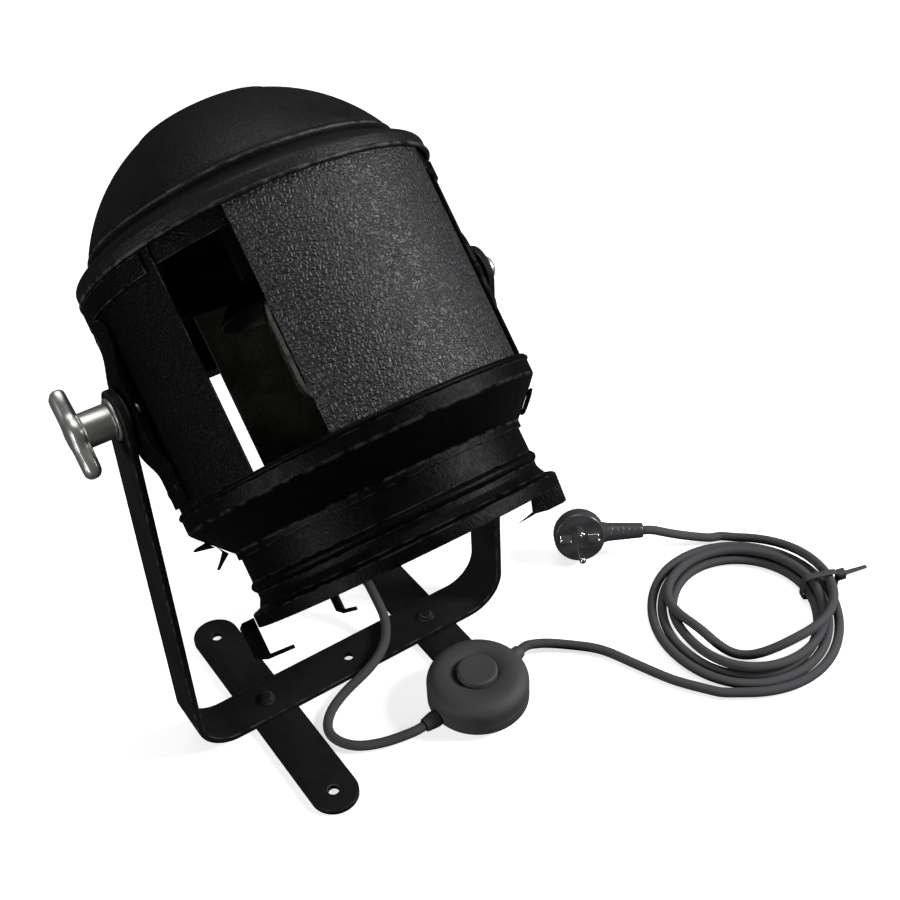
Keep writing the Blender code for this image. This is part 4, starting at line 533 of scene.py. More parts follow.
def soften(outline: Sequence[Pair], radius: float, steps: int = 4) -> list[Pair]:
    """Round the corners of a closed outline of (radius, station) pairs.

    Args:
        outline: The corners.
        radius: How far from a corner its rounding starts.
        steps: Pieces of each rounding.

    Returns:
        The rounded outline.
    """
    rounded: list[Pair] = []
    count = len(outline)
    for index, corner in enumerate(outline):
        if corner[0] == 0:
            rounded.append(corner)
            continue
        here = Vector(corner)
        before = Vector(outline[index - 1]) - here
        after = Vector(outline[(index + 1) % count]) - here
        if before.length < 1e-9 or after.length < 1e-9 or before.angle(after) > math.radians(172.0):
            rounded.append(corner)
            continue
        reach = min(radius, before.length * 0.45, after.length * 0.45)
        first = here + before.normalized() * reach
        last = here + after.normalized() * reach
        for step in range(steps + 1):
            share = step / steps
            point = first.lerp(here, share).lerp(here.lerp(last, share), share)
            rounded.append((point.x, point.y))
    return rounded


def revolve(name: str, outline: Sequence[Pair], place: Matrix, sides: int = ROUND, sharp: float = 40.0,
            flip: float = 1.0) -> bpy.types.Object:
    """Turn a closed (radius, station) outline round its axis.

    Args:
        name: Name of the piece.
        outline: Closed outline of the wall.
        place: Matrix of the axis frame, in which stations run down Z.
        sides: Number of sides.
        sharp: Angle above which an edge shades hard.
        flip: Minus one where stations run up Z.

    Returns:
        The piece.
    """
    points: list[Vector] = []
    rows: list[list[int]] = []
    for radius, station in outline:
        if radius == 0:
            rows.append([len(points)] * sides)
            points.append(Vector((0.0, 0.0, -station * flip)))
            continue
        rows.append(list(range(len(points), len(points) + sides)))
        for side in range(sides):
            turn = math.tau * side / sides
            points.append(Vector((radius * math.sin(turn), -radius * math.cos(turn), -station * flip)))
    faces = []
    for index, row in enumerate(rows):
        after = rows[(index + 1) % len(rows)]
        if row[0] == row[1] and after[0] == after[1]:
            continue
        for side in range(sides):
            beside = (side + 1) % sides
            faces.append(list(dict.fromkeys((row[side], row[beside], after[beside], after[side]))))
    return make_piece(name, points, faces, place, 0.0, sharp)


def head_point(radius: float, angle: float, station: float) -> Vector:
    """Point of the head by radius, angle in degrees from its top, and station from the tilt axis."""
    turn = math.radians(angle)
    return Vector((radius * math.sin(turn), -radius * math.cos(turn), -station))


def loft(name: str, rings: Sequence[Sequence[Vector]], place: Matrix = Matrix(),
         bevel: float = 0.0) -> bpy.types.Object:
    """Join rings of equal count into one closed piece with flat ends."""
    count = len(rings[0])
    points = [point for ring in rings for point in ring]
    faces: list[Face] = [list(range(count)), list(range(len(points) - count, len(points)))]
    for index in range(len(rings) - 1):
        low = index * count
        for side in range(count):
            beside = (side + 1) % count
            faces.append((low + side, low + beside, low + count + beside, low + count + side))
    return make_piece(name, points, faces, place, bevel)


def curved_sheet(name: str, outer: float, thick: float, stations: Pair, angles: Pair,
                 bevel: float = 0.00028) -> bpy.types.Object:
    """Part turn of sheet metal between two stations and two angles of the head."""
    rings = []
    for side in range(SHEET_SIDES + 1):
        angle = angles[0] + (angles[1] - angles[0]) * side / SHEET_SIDES
        ring = []
        for radius, order in ((outer, range(SHEET_ROWS + 1)), (outer - thick, range(SHEET_ROWS, -1, -1))):
            for row in order:
                station = stations[0] + (stations[1] - stations[0]) * row / SHEET_ROWS
                ring.append(head_point(radius, angle, station))
        rings.append(ring)
    return loft(name, rings, HEAD_PLACE, bevel)


def carried(node: str, name: str, bevel: float) -> bpy.types.Object:
    """Make a finer piece from a merged copy of a CAD node.

    Args:
        node: The CAD node that the piece stands for.
        name: Name of the new piece.
        bevel: Width of the rounded edges.

    Returns:
        The new piece, which replaces the node.
    """
    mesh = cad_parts[node].data.copy()
    mesh.name = name
    mesh.materials.clear()
    work = bmesh.new()
    work.from_mesh(mesh)
    bmesh.ops.remove_doubles(work, verts=work.verts[:], dist=2e-6)
    bmesh.ops.dissolve_limit(work, angle_limit=math.radians(1.0), verts=work.verts[:], edges=work.edges[:])
    work.to_mesh(mesh)
    work.free()
    item = polish(linked(name, mesh), bevel)
    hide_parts(node)
    return item


def cut(item: bpy.types.Object, cutter: bpy.types.Object) -> bpy.types.Object:
    """Cut a piece with another and drop the cutter."""
    modifier = item.modifiers.new("cut", "BOOLEAN")
    modifier.operation = "DIFFERENCE"
    modifier.solver = "EXACT"
    modifier.object = cutter
    settle(item)
    bpy.data.objects.remove(cutter)
    return polish(item, 0.0)


def dress(item: bpy.types.Object, body: Body, finish: Finish, *nodes: str) -> bpy.types.Object:
    """Give a piece its finish and let it ride, in place of the CAD nodes that it stands for."""
    item.data.materials.clear()
    item.data.materials.append(finish.material())
    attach(item, body.value)
    if nodes:
        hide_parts(*nodes)
    LOG.info("%s rides on %s in %s", item.name, body.value, finish.name)
    return item


def quarter(steps: int, first: int = 1, past: int = 0) -> list[float]:
    """Turns of a quarter circle in even steps, in radians."""
    return [math.pi / 2 * step / steps for step in range(first, steps + past)]


def bead(radius: float, station: float, width: float, height: float, steps: int = 10) -> list[Pair]:
    """Round rib standing out of a wall, as (radius, station) pairs."""
    row = []
    for step in range(steps + 1):
        share = step / steps
        row.append((radius + height * math.sin(math.pi * share) ** 0.8, station + width * (share - 0.5)))
    return row


# Small repeated shapes by geometry nodes


def geometry_group(name: str, inputs: Iterable[tuple[str, str]],
                   draw: Callable[[Sheet, bpy.types.Node], bpy.types.Node]) -> bpy.types.NodeTree:
    """Make a geometry node group once and give it back each time it is asked for.

    Args:
        name: Name of the group.
        inputs: Socket names and types that go in, before the finish.
        draw: Function that draws the copies from the group's inputs.

    Returns:
        The node group, which makes its copies real and gives them their finish.
    """
    found = bpy.data.node_groups.get(name)
    if found:
        return found
    group = bpy.data.node_groups.new(name, "GeometryNodeTree")
    for title, kind in (*inputs, ("Finish", "NodeSocketMaterial")):
        group.interface.new_socket(title, in_out="INPUT", socket_type=kind)
    group.interface.new_socket("Geometry", in_out="OUTPUT", socket_type="NodeSocketGeometry")
    sheet = Sheet(group)
    start = sheet.add("NodeGroupInput")
    real = sheet.add("GeometryNodeRealizeInstances", {0: draw(sheet, start).outputs[0]})
    painted = sheet.add("GeometryNodeSetMaterial", {
        "Geometry": real.outputs[0], "Material": start.outputs["Finish"]})
    sheet.add("NodeGroupOutput", {0: painted.outputs[0]})
    return group


def grow(name: str, tree: bpy.types.NodeTree, values: dict[str, object], place: Matrix) -> bpy.types.Object:
    """Run a geometry node group and keep its shape as a plain mesh.

    Args:
        name: Name of the piece.
        tree: The node group.
        values: Value of each of its inputs by name.
        place: Matrix of the first copy.

    Returns:
        The piece.
    """
    item = linked(name, bpy.data.meshes.new(name))
    modifier = item.modifiers.new(tree.name, "NODES")
    modifier.node_group = tree
    for socket in tree.interface.items_tree:
        if socket.in_out == "INPUT":
            modifier[socket.identifier] = values[socket.name]
    settle(item)
    item.data.transform(place)
    return polish(item, 0.0)


@dataclass
class StudRow:
    """A row of round rivet heads, made by a node tree."""

    count: int
    spacing: float
    radius: float
    height: float

    def draw(self, sheet: Sheet, start: bpy.types.Node) -> bpy.types.Node:
        """Draw a line of points with a flattened ball on each."""
        offset = sheet.add("ShaderNodeCombineXYZ", {0: start.outputs["Spacing"]})
        line = sheet.add("GeometryNodeMeshLine", {
            "Count": start.outputs["Count"], "Offset": offset.outputs[0]})
        ball = sheet.add("GeometryNodeMeshUVSphere", {
            "Segments": 28, "Rings": 16, "Radius": start.outputs["Radius"]})
        flat = sheet.math("DIVIDE", start.outputs["Height"], start.outputs["Radius"])
        scale = sheet.add("ShaderNodeCombineXYZ", {0: 1.0, 1: 1.0, 2: flat})
        stud = sheet.add("GeometryNodeTransform", {"Geometry": ball.outputs[0], "Scale": scale.outputs[0]})
        return sheet.add("GeometryNodeInstanceOnPoints", {
            "Points": line.outputs[0], "Instance": stud.outputs[0]})

    def build(self, name: str, place: Matrix, finish: Finish) -> bpy.types.Object:
        """Build the row: X of its place runs along it, and Z points out of the surface."""
        inputs = (("Count", "NodeSocketInt"), ("Spacing", NUMBER), ("Radius", NUMBER), ("Height", NUMBER))
        values = {"Count": self.count, "Spacing": self.spacing, "Radius": self.radius,
                  "Height": self.height, "Finish": finish.material()}
        return grow(name, geometry_group("stud_row", inputs, self.draw), values, place)


@dataclass
class RibRow:
    """Rings along a tapered sleeve, made by a node tree."""

    count: int
    spacing: float
    first: float
    last: float
    thick: float

    def draw(self, sheet: Sheet, start: bpy.types.Node) -> bpy.types.Node:
        """Draw a line of points with a ring on each, growing or shrinking along it."""
        offset = sheet.add("ShaderNodeCombineXYZ", {2: start.outputs["Spacing"]})
        line = sheet.add("GeometryNodeMeshLine", {
            "Count": start.outputs["Count"], "Offset": offset.outputs[0]})
        hoop = sheet.add("GeometryNodeCurvePrimitiveCircle", {
            "Resolution": 48, "Radius": start.outputs["First radius"]})
        wire = sheet.add("GeometryNodeCurvePrimitiveCircle", {
            "Resolution": 12, "Radius": start.outputs["Thickness"]})
        ring = sheet.add("GeometryNodeCurveToMesh", {
            "Curve": hoop.outputs[0], "Profile Curve": wire.outputs[0]})
        index = sheet.add("GeometryNodeInputIndex").outputs[0]
        share = sheet.math("DIVIDE", index, sheet.math("SUBTRACT", start.outputs["Count"], 1.0))
        ratio = sheet.math("DIVIDE", start.outputs["Last radius"], start.outputs["First radius"])
        size = sheet.math("MULTIPLY_ADD", share, sheet.math("SUBTRACT", ratio, 1.0), 1.0)
        return sheet.add("GeometryNodeInstanceOnPoints", {
            "Points": line.outputs[0], "Instance": ring.outputs[0], "Scale": size})

    def build(self, name: str, place: Matrix, finish: Finish) -> bpy.types.Object:
        """Build the ribs, whose axis is the Z of their place."""
        inputs = (("Count", "NodeSocketInt"), ("Spacing", NUMBER), ("First radius", NUMBER),
                  ("Last radius", NUMBER), ("Thickness", NUMBER))
        values = {"Count": self.count, "Spacing": self.spacing, "First radius": self.first,
                  "Last radius": self.last, "Thickness": self.thick, "Finish": finish.material()}
        return grow(name, geometry_group("rib_row", inputs, self.draw), values, place)


# Studio


@dataclass
class Studio:
    """Camera, floor, world and soft lamps."""

    focus_pixels: float = 1399.6
    frame_pixels: float = 900.0
    azimuth: float = -32.38
    elevation: float = 39.61
    roll: float = -2.97
    place: Triple = (-0.27069, -0.56361, 0.69207)
    fill: float = 0.012
    shine: float = 0.06
    paper: float = 0.80
    dim_paper: float = 0.07
    lift: float = 0.74
    floor_half: float = 6.0
    floor_level: float = -0.0002
    lamps: tuple[tuple[str, Triple, Triple, float, float], ...] = (
        ("top_lamp", (0.20, 0.35, 1.70), (0.05, 0.0, 0.0), 1.00, 9.0),
        ("sheen_lamp", (1.35, -0.82, 1.05), (0.0, 0.0, 0.25), 0.50, 34.0),
        ("arm_lamp", (-1.30, -0.35, 0.40), (0.0, 0.0, 0.2), 0.45, 9.0),
    )

    def camera(self) -> None:
        """Set the camera where the photograph was taken from."""
        a, e, r = (math.radians(v) for v in (self.azimuth, self.elevation, self.roll))
        back = Vector((math.sin(a) * math.cos(e), -math.cos(a) * math.cos(e), math.sin(e)))
        right = Vector((math.cos(a), math.sin(a), 0.0))
        up = back.cross(right)
        across = right * math.cos(r) + up * math.sin(r)
        rise = up * math.cos(r) - right * math.sin(r)
        data = bpy.data.cameras.new("photo_camera")
        data.sensor_width = 36.0
        data.lens = self.focus_pixels / self.frame_pixels * data.sensor_width
        item = linked("photo_camera", data)
        turn = Matrix((across, rise, back)).transposed().to_4x4()
        item.matrix_world = Matrix.Translation(self.place) @ turn
        bpy.context.scene.camera = item

    def world(self) -> None:
        """Set a dim even sky that shows white to the camera and through glass, and a faint share of white to
        glossy rays.
        """
        world = bpy.data.worlds.new("pale_studio")
        sheet = Sheet.of(world)
        path = sheet.add("ShaderNodeLightPath")
        seen = sheet.math("MAXIMUM", path.outputs["Is Camera Ray"], path.outputs["Is Transmission Ray"])
        shine = sheet.math("MULTIPLY", path.outputs["Is Glossy Ray"], self.shine)
        seen = sheet.math("MAXIMUM", seen, shine)
        fill = sheet.add("ShaderNodeBackground", {"Color": (0.97, 0.98, 1.0, 1.0), "Strength": self.fill})
        white = sheet.add("ShaderNodeBackground", {"Color": (1.0, 1.0, 1.0, 1.0), "Strength": 1.0})
        both = sheet.add("ShaderNodeMixShader", {0: seen, 1: fill.outputs[0], 2: white.outputs[0]})
        sheet.add("ShaderNodeOutputWorld", {0: both.outputs[0]})
        bpy.context.scene.world = world

    def floor(self) -> None:
        """Lay a pale floor that keeps the soft shadow."""
        half, level = self.floor_half, self.floor_level
        corners = [(-half, -half, level), (half, -half, level), (half, half, level), (-half, half, level)]
        mesh = bpy.data.meshes.new("studio_floor")
        mesh.from_pydata(corners, [], [(0, 1, 2, 3)])
        item = linked("studio_floor", mesh)
        material = bpy.data.materials.new("studio_floor_paint")
        sheet = Sheet.of(material)
        place = sheet.add("ShaderNodeTexCoord").outputs["Object"]
        paper, paler = self.paper, self.paper + 0.02
        cloud = sheet.noise(place, 3.0, 2.0)
        colour = sheet.mix(cloud, (paper, paper, paper, 1.0), (paler, paler, paler, 1.0))
        path = sheet.add("ShaderNodeLightPath")
        seen = sheet.math("MAXIMUM", path.outputs["Is Camera Ray"], path.outputs["Is Transmission Ray"])
        dim = (self.dim_paper, self.dim_paper, self.dim_paper, 1.0)
        paper = sheet.add("ShaderNodeBsdfDiffuse", {"Color": sheet.mix(seen, dim, colour)})
        glow = sheet.math("MULTIPLY", seen, self.lift)
        lift = sheet.add("ShaderNodeEmission", {"Color": (1.0, 1.0, 1.0, 1.0), "Strength": glow})
        both = sheet.add("ShaderNodeAddShader", {0: paper.outputs[0], 1: lift.outputs[0]})
        sheet.add("ShaderNodeOutputMaterial", {0: both.outputs[0]})
        mesh.materials.append(material)

    def lamp(self, name: str, place: Triple, aim: Triple, size: float, watts: float) -> None:
        """Hang one soft square lamp."""
        data = bpy.data.lights.new(name, "AREA")
        data.shape = "SQUARE"
        data.size = size
        data.energy = watts
        item = linked(name, data)
        way = Vector(place) - Vector(aim)
        item.matrix_world = Matrix.Translation(place) @ way.to_track_quat("Z", "Y").to_matrix().to_4x4()

    def build(self) -> None:
        """Set up the whole studio."""
        bpy.context.scene.view_settings.view_transform = "Standard"
        self.camera()
        self.world()
        self.floor()
        for lamp in self.lamps:
            self.lamp(*lamp)


# Head


@dataclass
class HeadShell:
    """Rear cap, hoop, curved panels, straps and the stepped front."""

    panel_stations: Pair = (-0.0668, 0.0660)
    dome_radius: float = 0.0993
    dome_centre: float = -0.0380
    dome_run: float = 0.0420
    dome_starts: Pair = (-0.1282, -0.1266)
    dome_steps: tuple[int, int] = (28, 14)
    groove_radius: float = 0.0872
    flare_start: float = -0.0780
    flare_run: float = 0.0095
    cap_disc: tuple[Pair, ...] = ((0.0, CAP_END), (0.0398, CAP_END), (0.0408, -0.1292))
    cap_floor: tuple[Pair, ...] = ((0.0, -0.1282), (0.0395, -0.1282))
    strap_width: float = 0.030
    strap_thick: float = 0.0020
    strap_columns: int = 12
    joggle_stations: tuple[float, ...] = (-0.0380, -0.0140, 0.0190, 0.0370)
    rivet_places: tuple[Pair, ...] = ((-0.0410, -4.2), (0.0460, -5.0))
    doubler_sheet: float = 0.0018
    doubler_stations: Pair = (-0.0608, -0.0500)
    ring_radius: float = 0.1015
    ring_outside: tuple[Pair, ...] = (
        (0.1015, 0.0685), (0.0980, 0.0725), (0.0848, 0.0862), (0.0834, 0.0875), (0.0834, 0.0915))
    ring_inside: tuple[Pair, ...] = (
        (0.0821, 0.0915), (0.0821, 0.0867), (0.0838, 0.0852), (0.0972, 0.0712), (0.1002, 0.0680),
        (0.1002, 0.0574))
    tube_radius: float = 0.0818
    tube_outside: tuple[Pair, ...] = (
        (0.0818, 0.1140), (0.0840, 0.1187), (0.0880, 0.1200), (0.0888, 0.1208), (0.0888, 0.1277))
    tube_inside: tuple[Pair, ...] = (
        (0.0875, 0.1277), (0.0875, 0.1213), (0.0835, 0.1200), (0.0805, 0.1142), (0.0805, 0.0850))

    def dome(self, radius: float, start: float, steps: int) -> list[Pair]:
        """Round of the dome as (radius, station) pairs."""
        stations = [start + self.dome_run * step / steps for step in range(steps + 1)]
        offsets = [station - self.dome_centre for station in stations]
        return [(math.sqrt(radius ** 2 - offset ** 2), station) for offset, station in zip(offsets, stations)]

    def rear_cap(self) -> bpy.types.Object:
        """Spun cap: end disc, dome, rib, flared band and rolled lip."""
        path = [*self.cap_disc, *self.dome(self.dome_radius, self.dome_starts[0], self.dome_steps[0])]
        path += bead(self.groove_radius, -0.0815, 0.0048, 0.0022)
        floor = PANEL_RADIUS + SEAT
        band = floor + SHEET
        for step in range(1, 15):
            share = step / 14
            path.append((
                self.groove_radius + (band - self.groove_radius) * math.sin(math.pi / 2 * share),
                self.flare_start + self.flare_run * share))
        path += [(band, -0.0650), *bead(band, -0.0627, 0.0026, 0.0010, 8)]
        inner = self.dome_radius - SHEET
        inside = [*self.cap_floor, *self.dome(inner, self.dome_starts[1], self.dome_steps[1])]
        inside += [(self.groove_radius - SHEET, self.flare_start), (0.0960, -0.0726), (floor, -0.0672),
                   (floor, -0.0614)]
        return revolve("rear_cap_shell", path + list(reversed(inside)), HEAD_PLACE)

    def strap(self, name: str, angle: float) -> bpy.types.Object:
        """Joggled strap over a cheek with a round rear end."""
        low = PANEL_RADIUS + SEAT + self.strap_thick
        half = self.strap_width / 2
        stations: list[tuple[float, float, float]] = []
        for step in range(10):
            turn = math.pi / 2 * (step + 0.7) / 10
            end = -0.0430 - half * math.cos(turn) * 0.42
            stations.append((low, end, self.strap_width * math.sin(turn)))
        joggle = tuple(zip(self.joggle_stations, (low, STRAP_RAISED, STRAP_RAISED, low)))
        for (start, from_radius), (end, to_radius) in zip(joggle, joggle[1:]):
            for step in range(8):
                share = step / 8
                eased = share * share * (3 - 2 * share)
                radius = from_radius + (to_radius - from_radius) * eased
                stations.append((radius, start + (end - start) * share, self.strap_width))
        stations += [(low, self.joggle_stations[-1], self.strap_width), (low, 0.0540, self.strap_width)]
        spread = math.degrees(1 / PANEL_RADIUS)
        columns = self.strap_columns
        rings = []
        for radius, station, width in stations:
            ring = []
            inner = radius - self.strap_thick
            for layer, order in ((radius, range(columns + 1)), (inner, range(columns, -1, -1))):
                for column in order:
                    lean = (column / columns - 0.5) * width * spread
                    ring.append(head_point(layer, angle + lean, station))
            rings.append(ring)
        return loft(name, rings, HEAD_PLACE, 0.0004)

    def front_ring(self) -> bpy.types.Object:
        """Pressed ring that steps down from the panels to the tube."""
        rib = bead(self.ring_radius, 0.0592, 0.0030, 0.0010, 8)
        path = [(self.ring_radius, 0.0574), *rib, *self.ring_outside, *self.ring_inside]
        return revolve("front_ring_shell", soften(path, 0.0010), HEAD_PLACE)

    def front_tube(self) -> bpy.types.Object:
        """Front tube with its rib, flare and flange."""
        rib = bead(self.tube_radius, 0.1080, 0.0060, 0.0019)
        path = [(self.tube_radius, 0.0850), *rib, *self.tube_outside, *self.tube_inside]
        return revolve("front_tube_shell", soften(path, 0.0007), HEAD_PLACE)

    def build(self) -> None:
        """Build and dress the shell."""
        dress(self.rear_cap(), Body.HEAD, CAP_PAINT, "rear_cap")
        hoop = PANEL_RADIUS - PANEL_SHEET - SEAT
        rear, front = self.panel_stations[0], -0.0520
        outline = soften([(hoop, rear), (hoop, front), (hoop - SHEET, front), (hoop - SHEET, rear)], 0.0003)
        dress(revolve("rear_hoop_band", outline, HEAD_PLACE), Body.HEAD, SHADED_SIDE_PAINT, "rear_hoop")
        # The top panel takes the lit copy of the paint and the cheeks the shaded copy: painted light and
        # shade.
        for node, angles, finish in (
            ("top_panel", (-26.5, 47.0), BODY_PAINT), ("bottom_panel", (133.0, 193.0), INNER_PAINT),
            ("left_cheek", (-128.5, -51.5), SHADED_SIDE_PAINT), ("right_cheek", (67.0, 119.0), SHADED_SIDE_PAINT),
        ):
            sheet = curved_sheet(node + "_sheet", PANEL_RADIUS, PANEL_SHEET, self.panel_stations, angles)
            dress(sheet, Body.HEAD, finish, node)
        outer = PANEL_RADIUS + SEAT + self.doubler_sheet
        for node, angles in (("left_doubler", (-125.5, -54.5)), ("right_doubler", (70.0, 116.0))):
            band = curved_sheet(
                node + "_band", outer, self.doubler_sheet, self.doubler_stations, angles, 0.0004)
            dress(band, Body.HEAD, SHADED_SIDE_PAINT, node)
        for side, angle in (("left", -90.0), ("right", 90.0)):
            dress(self.strap(side + "_strap_bar", angle), Body.HEAD, SHADED_SIDE_PAINT, side + "_pivot_strap")
            self.strap_rivets(side, angle)
        # Front ring and tube take the shaded copy of the paint: painted shade.
        dress(self.front_ring(), Body.HEAD, SHADED_RING_PAINT, "front_ring")
        dress(self.front_tube(), Body.HEAD, SHADED_RING_PAINT, "front_tube")

    def strap_rivets(self, side: str, angle: float) -> None:
        """Rivet heads that hold a strap to its cheek."""
        low = PANEL_RADIUS + SEAT + self.strap_thick
        for index, (station, lean) in enumerate(self.rivet_places):
            first = head_point(low - 0.0002, angle + lean, station)
            other = head_point(low - 0.0002, angle - lean, station)
            along = (other - first).normalized()
            out = head_point(1.0, angle, 0.0).normalized()
            across = out.cross(along)
            turn = Matrix((along, across, out)).transposed().to_4x4()
            place = HEAD_PLACE @ Matrix.Translation(first) @ turn
            row = StudRow(2, (other - first).length, 0.0026, 0.0012)
            dress(row.build(f"{side}_strap_rivets_{index}", place, SHADED_SIDE_PAINT), Body.HEAD, SHADED_SIDE_PAINT)


@dataclass
class FrontFittings:
    """Hooks for the gel frame, catch tongues and the latch lug."""

    bevel: float = 0.00035
    hook_angle: float = 86.0
    catch_angle: float = -106.0
    hook_half: float = 0.0009
    tongue_half: float = 0.0034
    hook_outline: tuple[Pair, ...] = (
        (0.0891, 0.1185), (0.0973, 0.1222), (0.0960, 0.1390), (0.0936, 0.1397), (0.0835, 0.1397),
        (0.0762, 0.1383), (0.0631, 0.1391), (0.0748, 0.1366), (0.0774, 0.1293), (0.0891, 0.1284),
    )
    rear_tongue: tuple[Pair, ...] = (
        (0.0948, 0.0752), (0.1009, 0.0759), (0.1026, 0.0766), (0.1025, 0.0774), (0.0968, 0.0786),
        (0.0916, 0.0798),
    )
    front_tongue: tuple[Pair, ...] = (
        (0.0910, 0.0796), (0.0893, 0.0835), (0.0930, 0.0880), (0.0957, 0.0908), (0.0946, 0.0916),
        (0.0905, 0.0885), (0.0864, 0.0856),
    )

    def slab(self, name: str, outline: Sequence[Pair], angle: float, half: float) -> bpy.types.Object:
        """Plate that stands on edge: a (radius, station) outline at one angle of the head."""
        turn = math.radians(angle)
        sideways = Vector((math.cos(turn), math.sin(turn), 0.0)) * half
        rings = [
            [head_point(radius, angle, station) + sideways * side for radius, station in outline]
            for side in (-1.0, -0.34, 0.34, 1.0)
        ]
        return loft(name, rings, HEAD_PLACE, self.bevel)

    def build(self) -> None:
        """Build the hooks and tongues, and carry the small bent pieces over with rounded edges."""
        for node in ("left_frame_hook", "lower_frame_hook", "latch_lug"):
            dress(carried(node, node + "_bent", self.bevel), Body.HEAD, SHADED_RING_PAINT)
        hook = self.slab("right_frame_hook_plate", self.hook_outline, self.hook_angle, self.hook_half)
        dress(hook, Body.HEAD, SHADED_RING_PAINT, "right_frame_hook")
        tongues = {"rear_catch_tongue": self.rear_tongue, "front_catch_tongue": self.front_tongue}
        for node, outline in tongues.items():
            tongue = self.slab(node + "_bent", outline, self.catch_angle, self.tongue_half)
            dress(tongue, Body.HEAD, SHADED_SIDE_PAINT, node)


@dataclass
class LampInside:
    """Lens, reflector, holder, bulb, wiring box and gland."""

    bore: float = 0.0805
    lens_rear: float = 0.0935
    lens_edge: float = 0.0040
    lens_bulge: float = 0.0150
    wire: float = 0.0014
    wire_steps: int = 16
    dish_curve: float = 0.0480
    dish_radius: float = 0.0400
    dish_hole: float = 0.0160
    dish_rim: float = -0.0240
    dish_sheet: float = 0.0012
    dish_steps: int = 24
    holder_rear: float = -0.1000
    holder_radius: float = 0.0190
    holder_bore: float = 0.0135
    holder_depth: float = 0.0360
    cap_radius: float = 0.0132
    cap_length: float = 0.0340
    bulb_radius: float = 0.0165
    bulb_length: float = 0.0800

    def lens(self) -> bpy.types.Object:
        """Plano-convex lens."""
        edge = self.bore - SEAT
        flat = self.lens_rear + self.lens_edge
        outline = [(0.0, self.lens_rear), (edge, self.lens_rear), (edge, flat)]
        for step in range(1, 24):
            share = 1 - step / 24
            outline.append((edge * share, flat + self.lens_bulge * (1 - share * share)))
        outline.append((0.0, flat + self.lens_bulge))
        return revolve("lens_glass", outline, HEAD_PLACE, 160)

    def ring(self, name: str, station: float) -> bpy.types.Object:
        """Wire ring that holds the lens."""
        centre = self.bore - SEAT - self.wire
        turns = [math.tau * step / self.wire_steps for step in range(self.wire_steps)]
        outline = [
            (centre + self.wire * math.cos(turn), station + self.wire * math.sin(turn)) for turn in turns]
        return revolve(name, outline, HEAD_PLACE, 160, 60.0)

    def reflector(self) -> tuple[bpy.types.Object, float]:
        """Spherical reflector and the station of its hole."""
        curve, thin = self.dish_curve, self.dish_curve - self.dish_sheet
        apex = self.dish_rim - (curve - math.sqrt(curve ** 2 - self.dish_radius ** 2))
        first, last = math.asin(self.dish_hole / curve), math.asin(self.dish_radius / curve)
        turns = [first + (last - first) * step / self.dish_steps for step in range(self.dish_steps + 1)]
        path = [(curve * math.sin(turn), apex + curve * (1 - math.cos(turn))) for turn in turns]
        inner = [(thin * math.sin(turn), apex + curve - thin * math.cos(turn)) for turn in reversed(turns)]
        return revolve("reflector_dish", path + inner, HEAD_PLACE, 128), path[0][1]

    def build(self) -> None:
        """Build and dress what is inside."""
        dress(self.lens(), Body.HEAD, CLEAR_GLASS, "lens")
        flat = self.lens_rear + self.lens_edge
        rear_wire = self.ring("lens_rear_wire", self.lens_rear - self.wire - SEAT)
        dress(rear_wire, Body.HEAD, STEEL, "lens_rear_ring")
        dress(self.ring("lens_front_wire", flat + self.wire * 1.6), Body.HEAD, STEEL, "lens_front_ring")
        dish, hole = self.reflector()
        dress(dish, Body.HEAD, MIRROR, "reflector")
        inside = CAP_END + SHEET + SEAT
        outline = soften([
            (0.0, inside), (0.0200, inside), (0.0200, inside + SHEET), (0.0090, inside + SHEET),
            (0.0090, self.holder_rear - SEAT), (0.0, self.holder_rear - SEAT)], 0.0004)
        dress(revolve("holder_bracket_post", outline, HEAD_PLACE, 64), Body.HEAD, STEEL, "holder_bracket")
        front = hole - SEAT
        floor = front - self.holder_depth
        outline = soften([
            (0.0, self.holder_rear), (0.0133, self.holder_rear), (self.holder_radius, -0.0948),
            (self.holder_radius, front), (self.holder_bore, front), (self.holder_bore, floor),
            (0.0, floor)], 0.0008)
        dress(revolve("holder_body", outline, HEAD_PLACE, 80), Body.HEAD, HOLDER, "lamp_holder")
        seat = floor + SEAT
        top = seat + self.cap_length
        outline = soften([
            (0.0, seat), (0.0053, seat), (self.cap_radius, seat + 0.0068), (self.cap_radius, top),
            (0.0, top)], 0.0006)
        dress(revolve("bulb_cap_brass", outline, HEAD_PLACE, 80), Body.HEAD, BRASS, "bulb_cap")
        self.bulb(top + SEAT)
        dress(carried("terminal_box", "terminal_box_cover", 0.0004), Body.HEAD, SHADED_SIDE_PAINT)
        self.gland()

    def bulb(self, start: float) -> None:
        """Tubular bulb with a round tip."""
        radius, length = self.bulb_radius, self.bulb_length
        tip = start + length
        neck = 0.0130
        outline = [(0.0, start), (neck, start), (neck, start + length * 0.10),
                   (radius * 0.88, start + length * 0.20), (radius, start + length * 0.32)]
        for turn in quarter(16, 0):
            outline.append((radius * math.cos(turn), tip - radius * (1 - math.sin(turn))))
        outline.append((0.0, tip))
        bulb = revolve("bulb_envelope", soften(outline, 0.0020), HEAD_PLACE, 96)
        dress(bulb, Body.HEAD, SHADED_BULB_GLASS, "bulb_glass")

    def gland(self) -> None:
        """Tapered sleeve that holds the lead at the wiring box."""
        hole = CORD_RADIUS + SEAT
        outline = soften([
            (hole, SEAT), (0.0078, SEAT), (0.0078, 0.0069), (0.0064, 0.0093), (0.0048, 0.0303),
            (hole, 0.0303)], 0.0006)
        sleeve = revolve("cord_gland_sleeve", outline, HEAD_PLACE @ Matrix.Translation(GLAND_PLACE), 64)
        dress(sleeve, Body.HEAD, SWITCH_PLASTIC, "cord_gland")


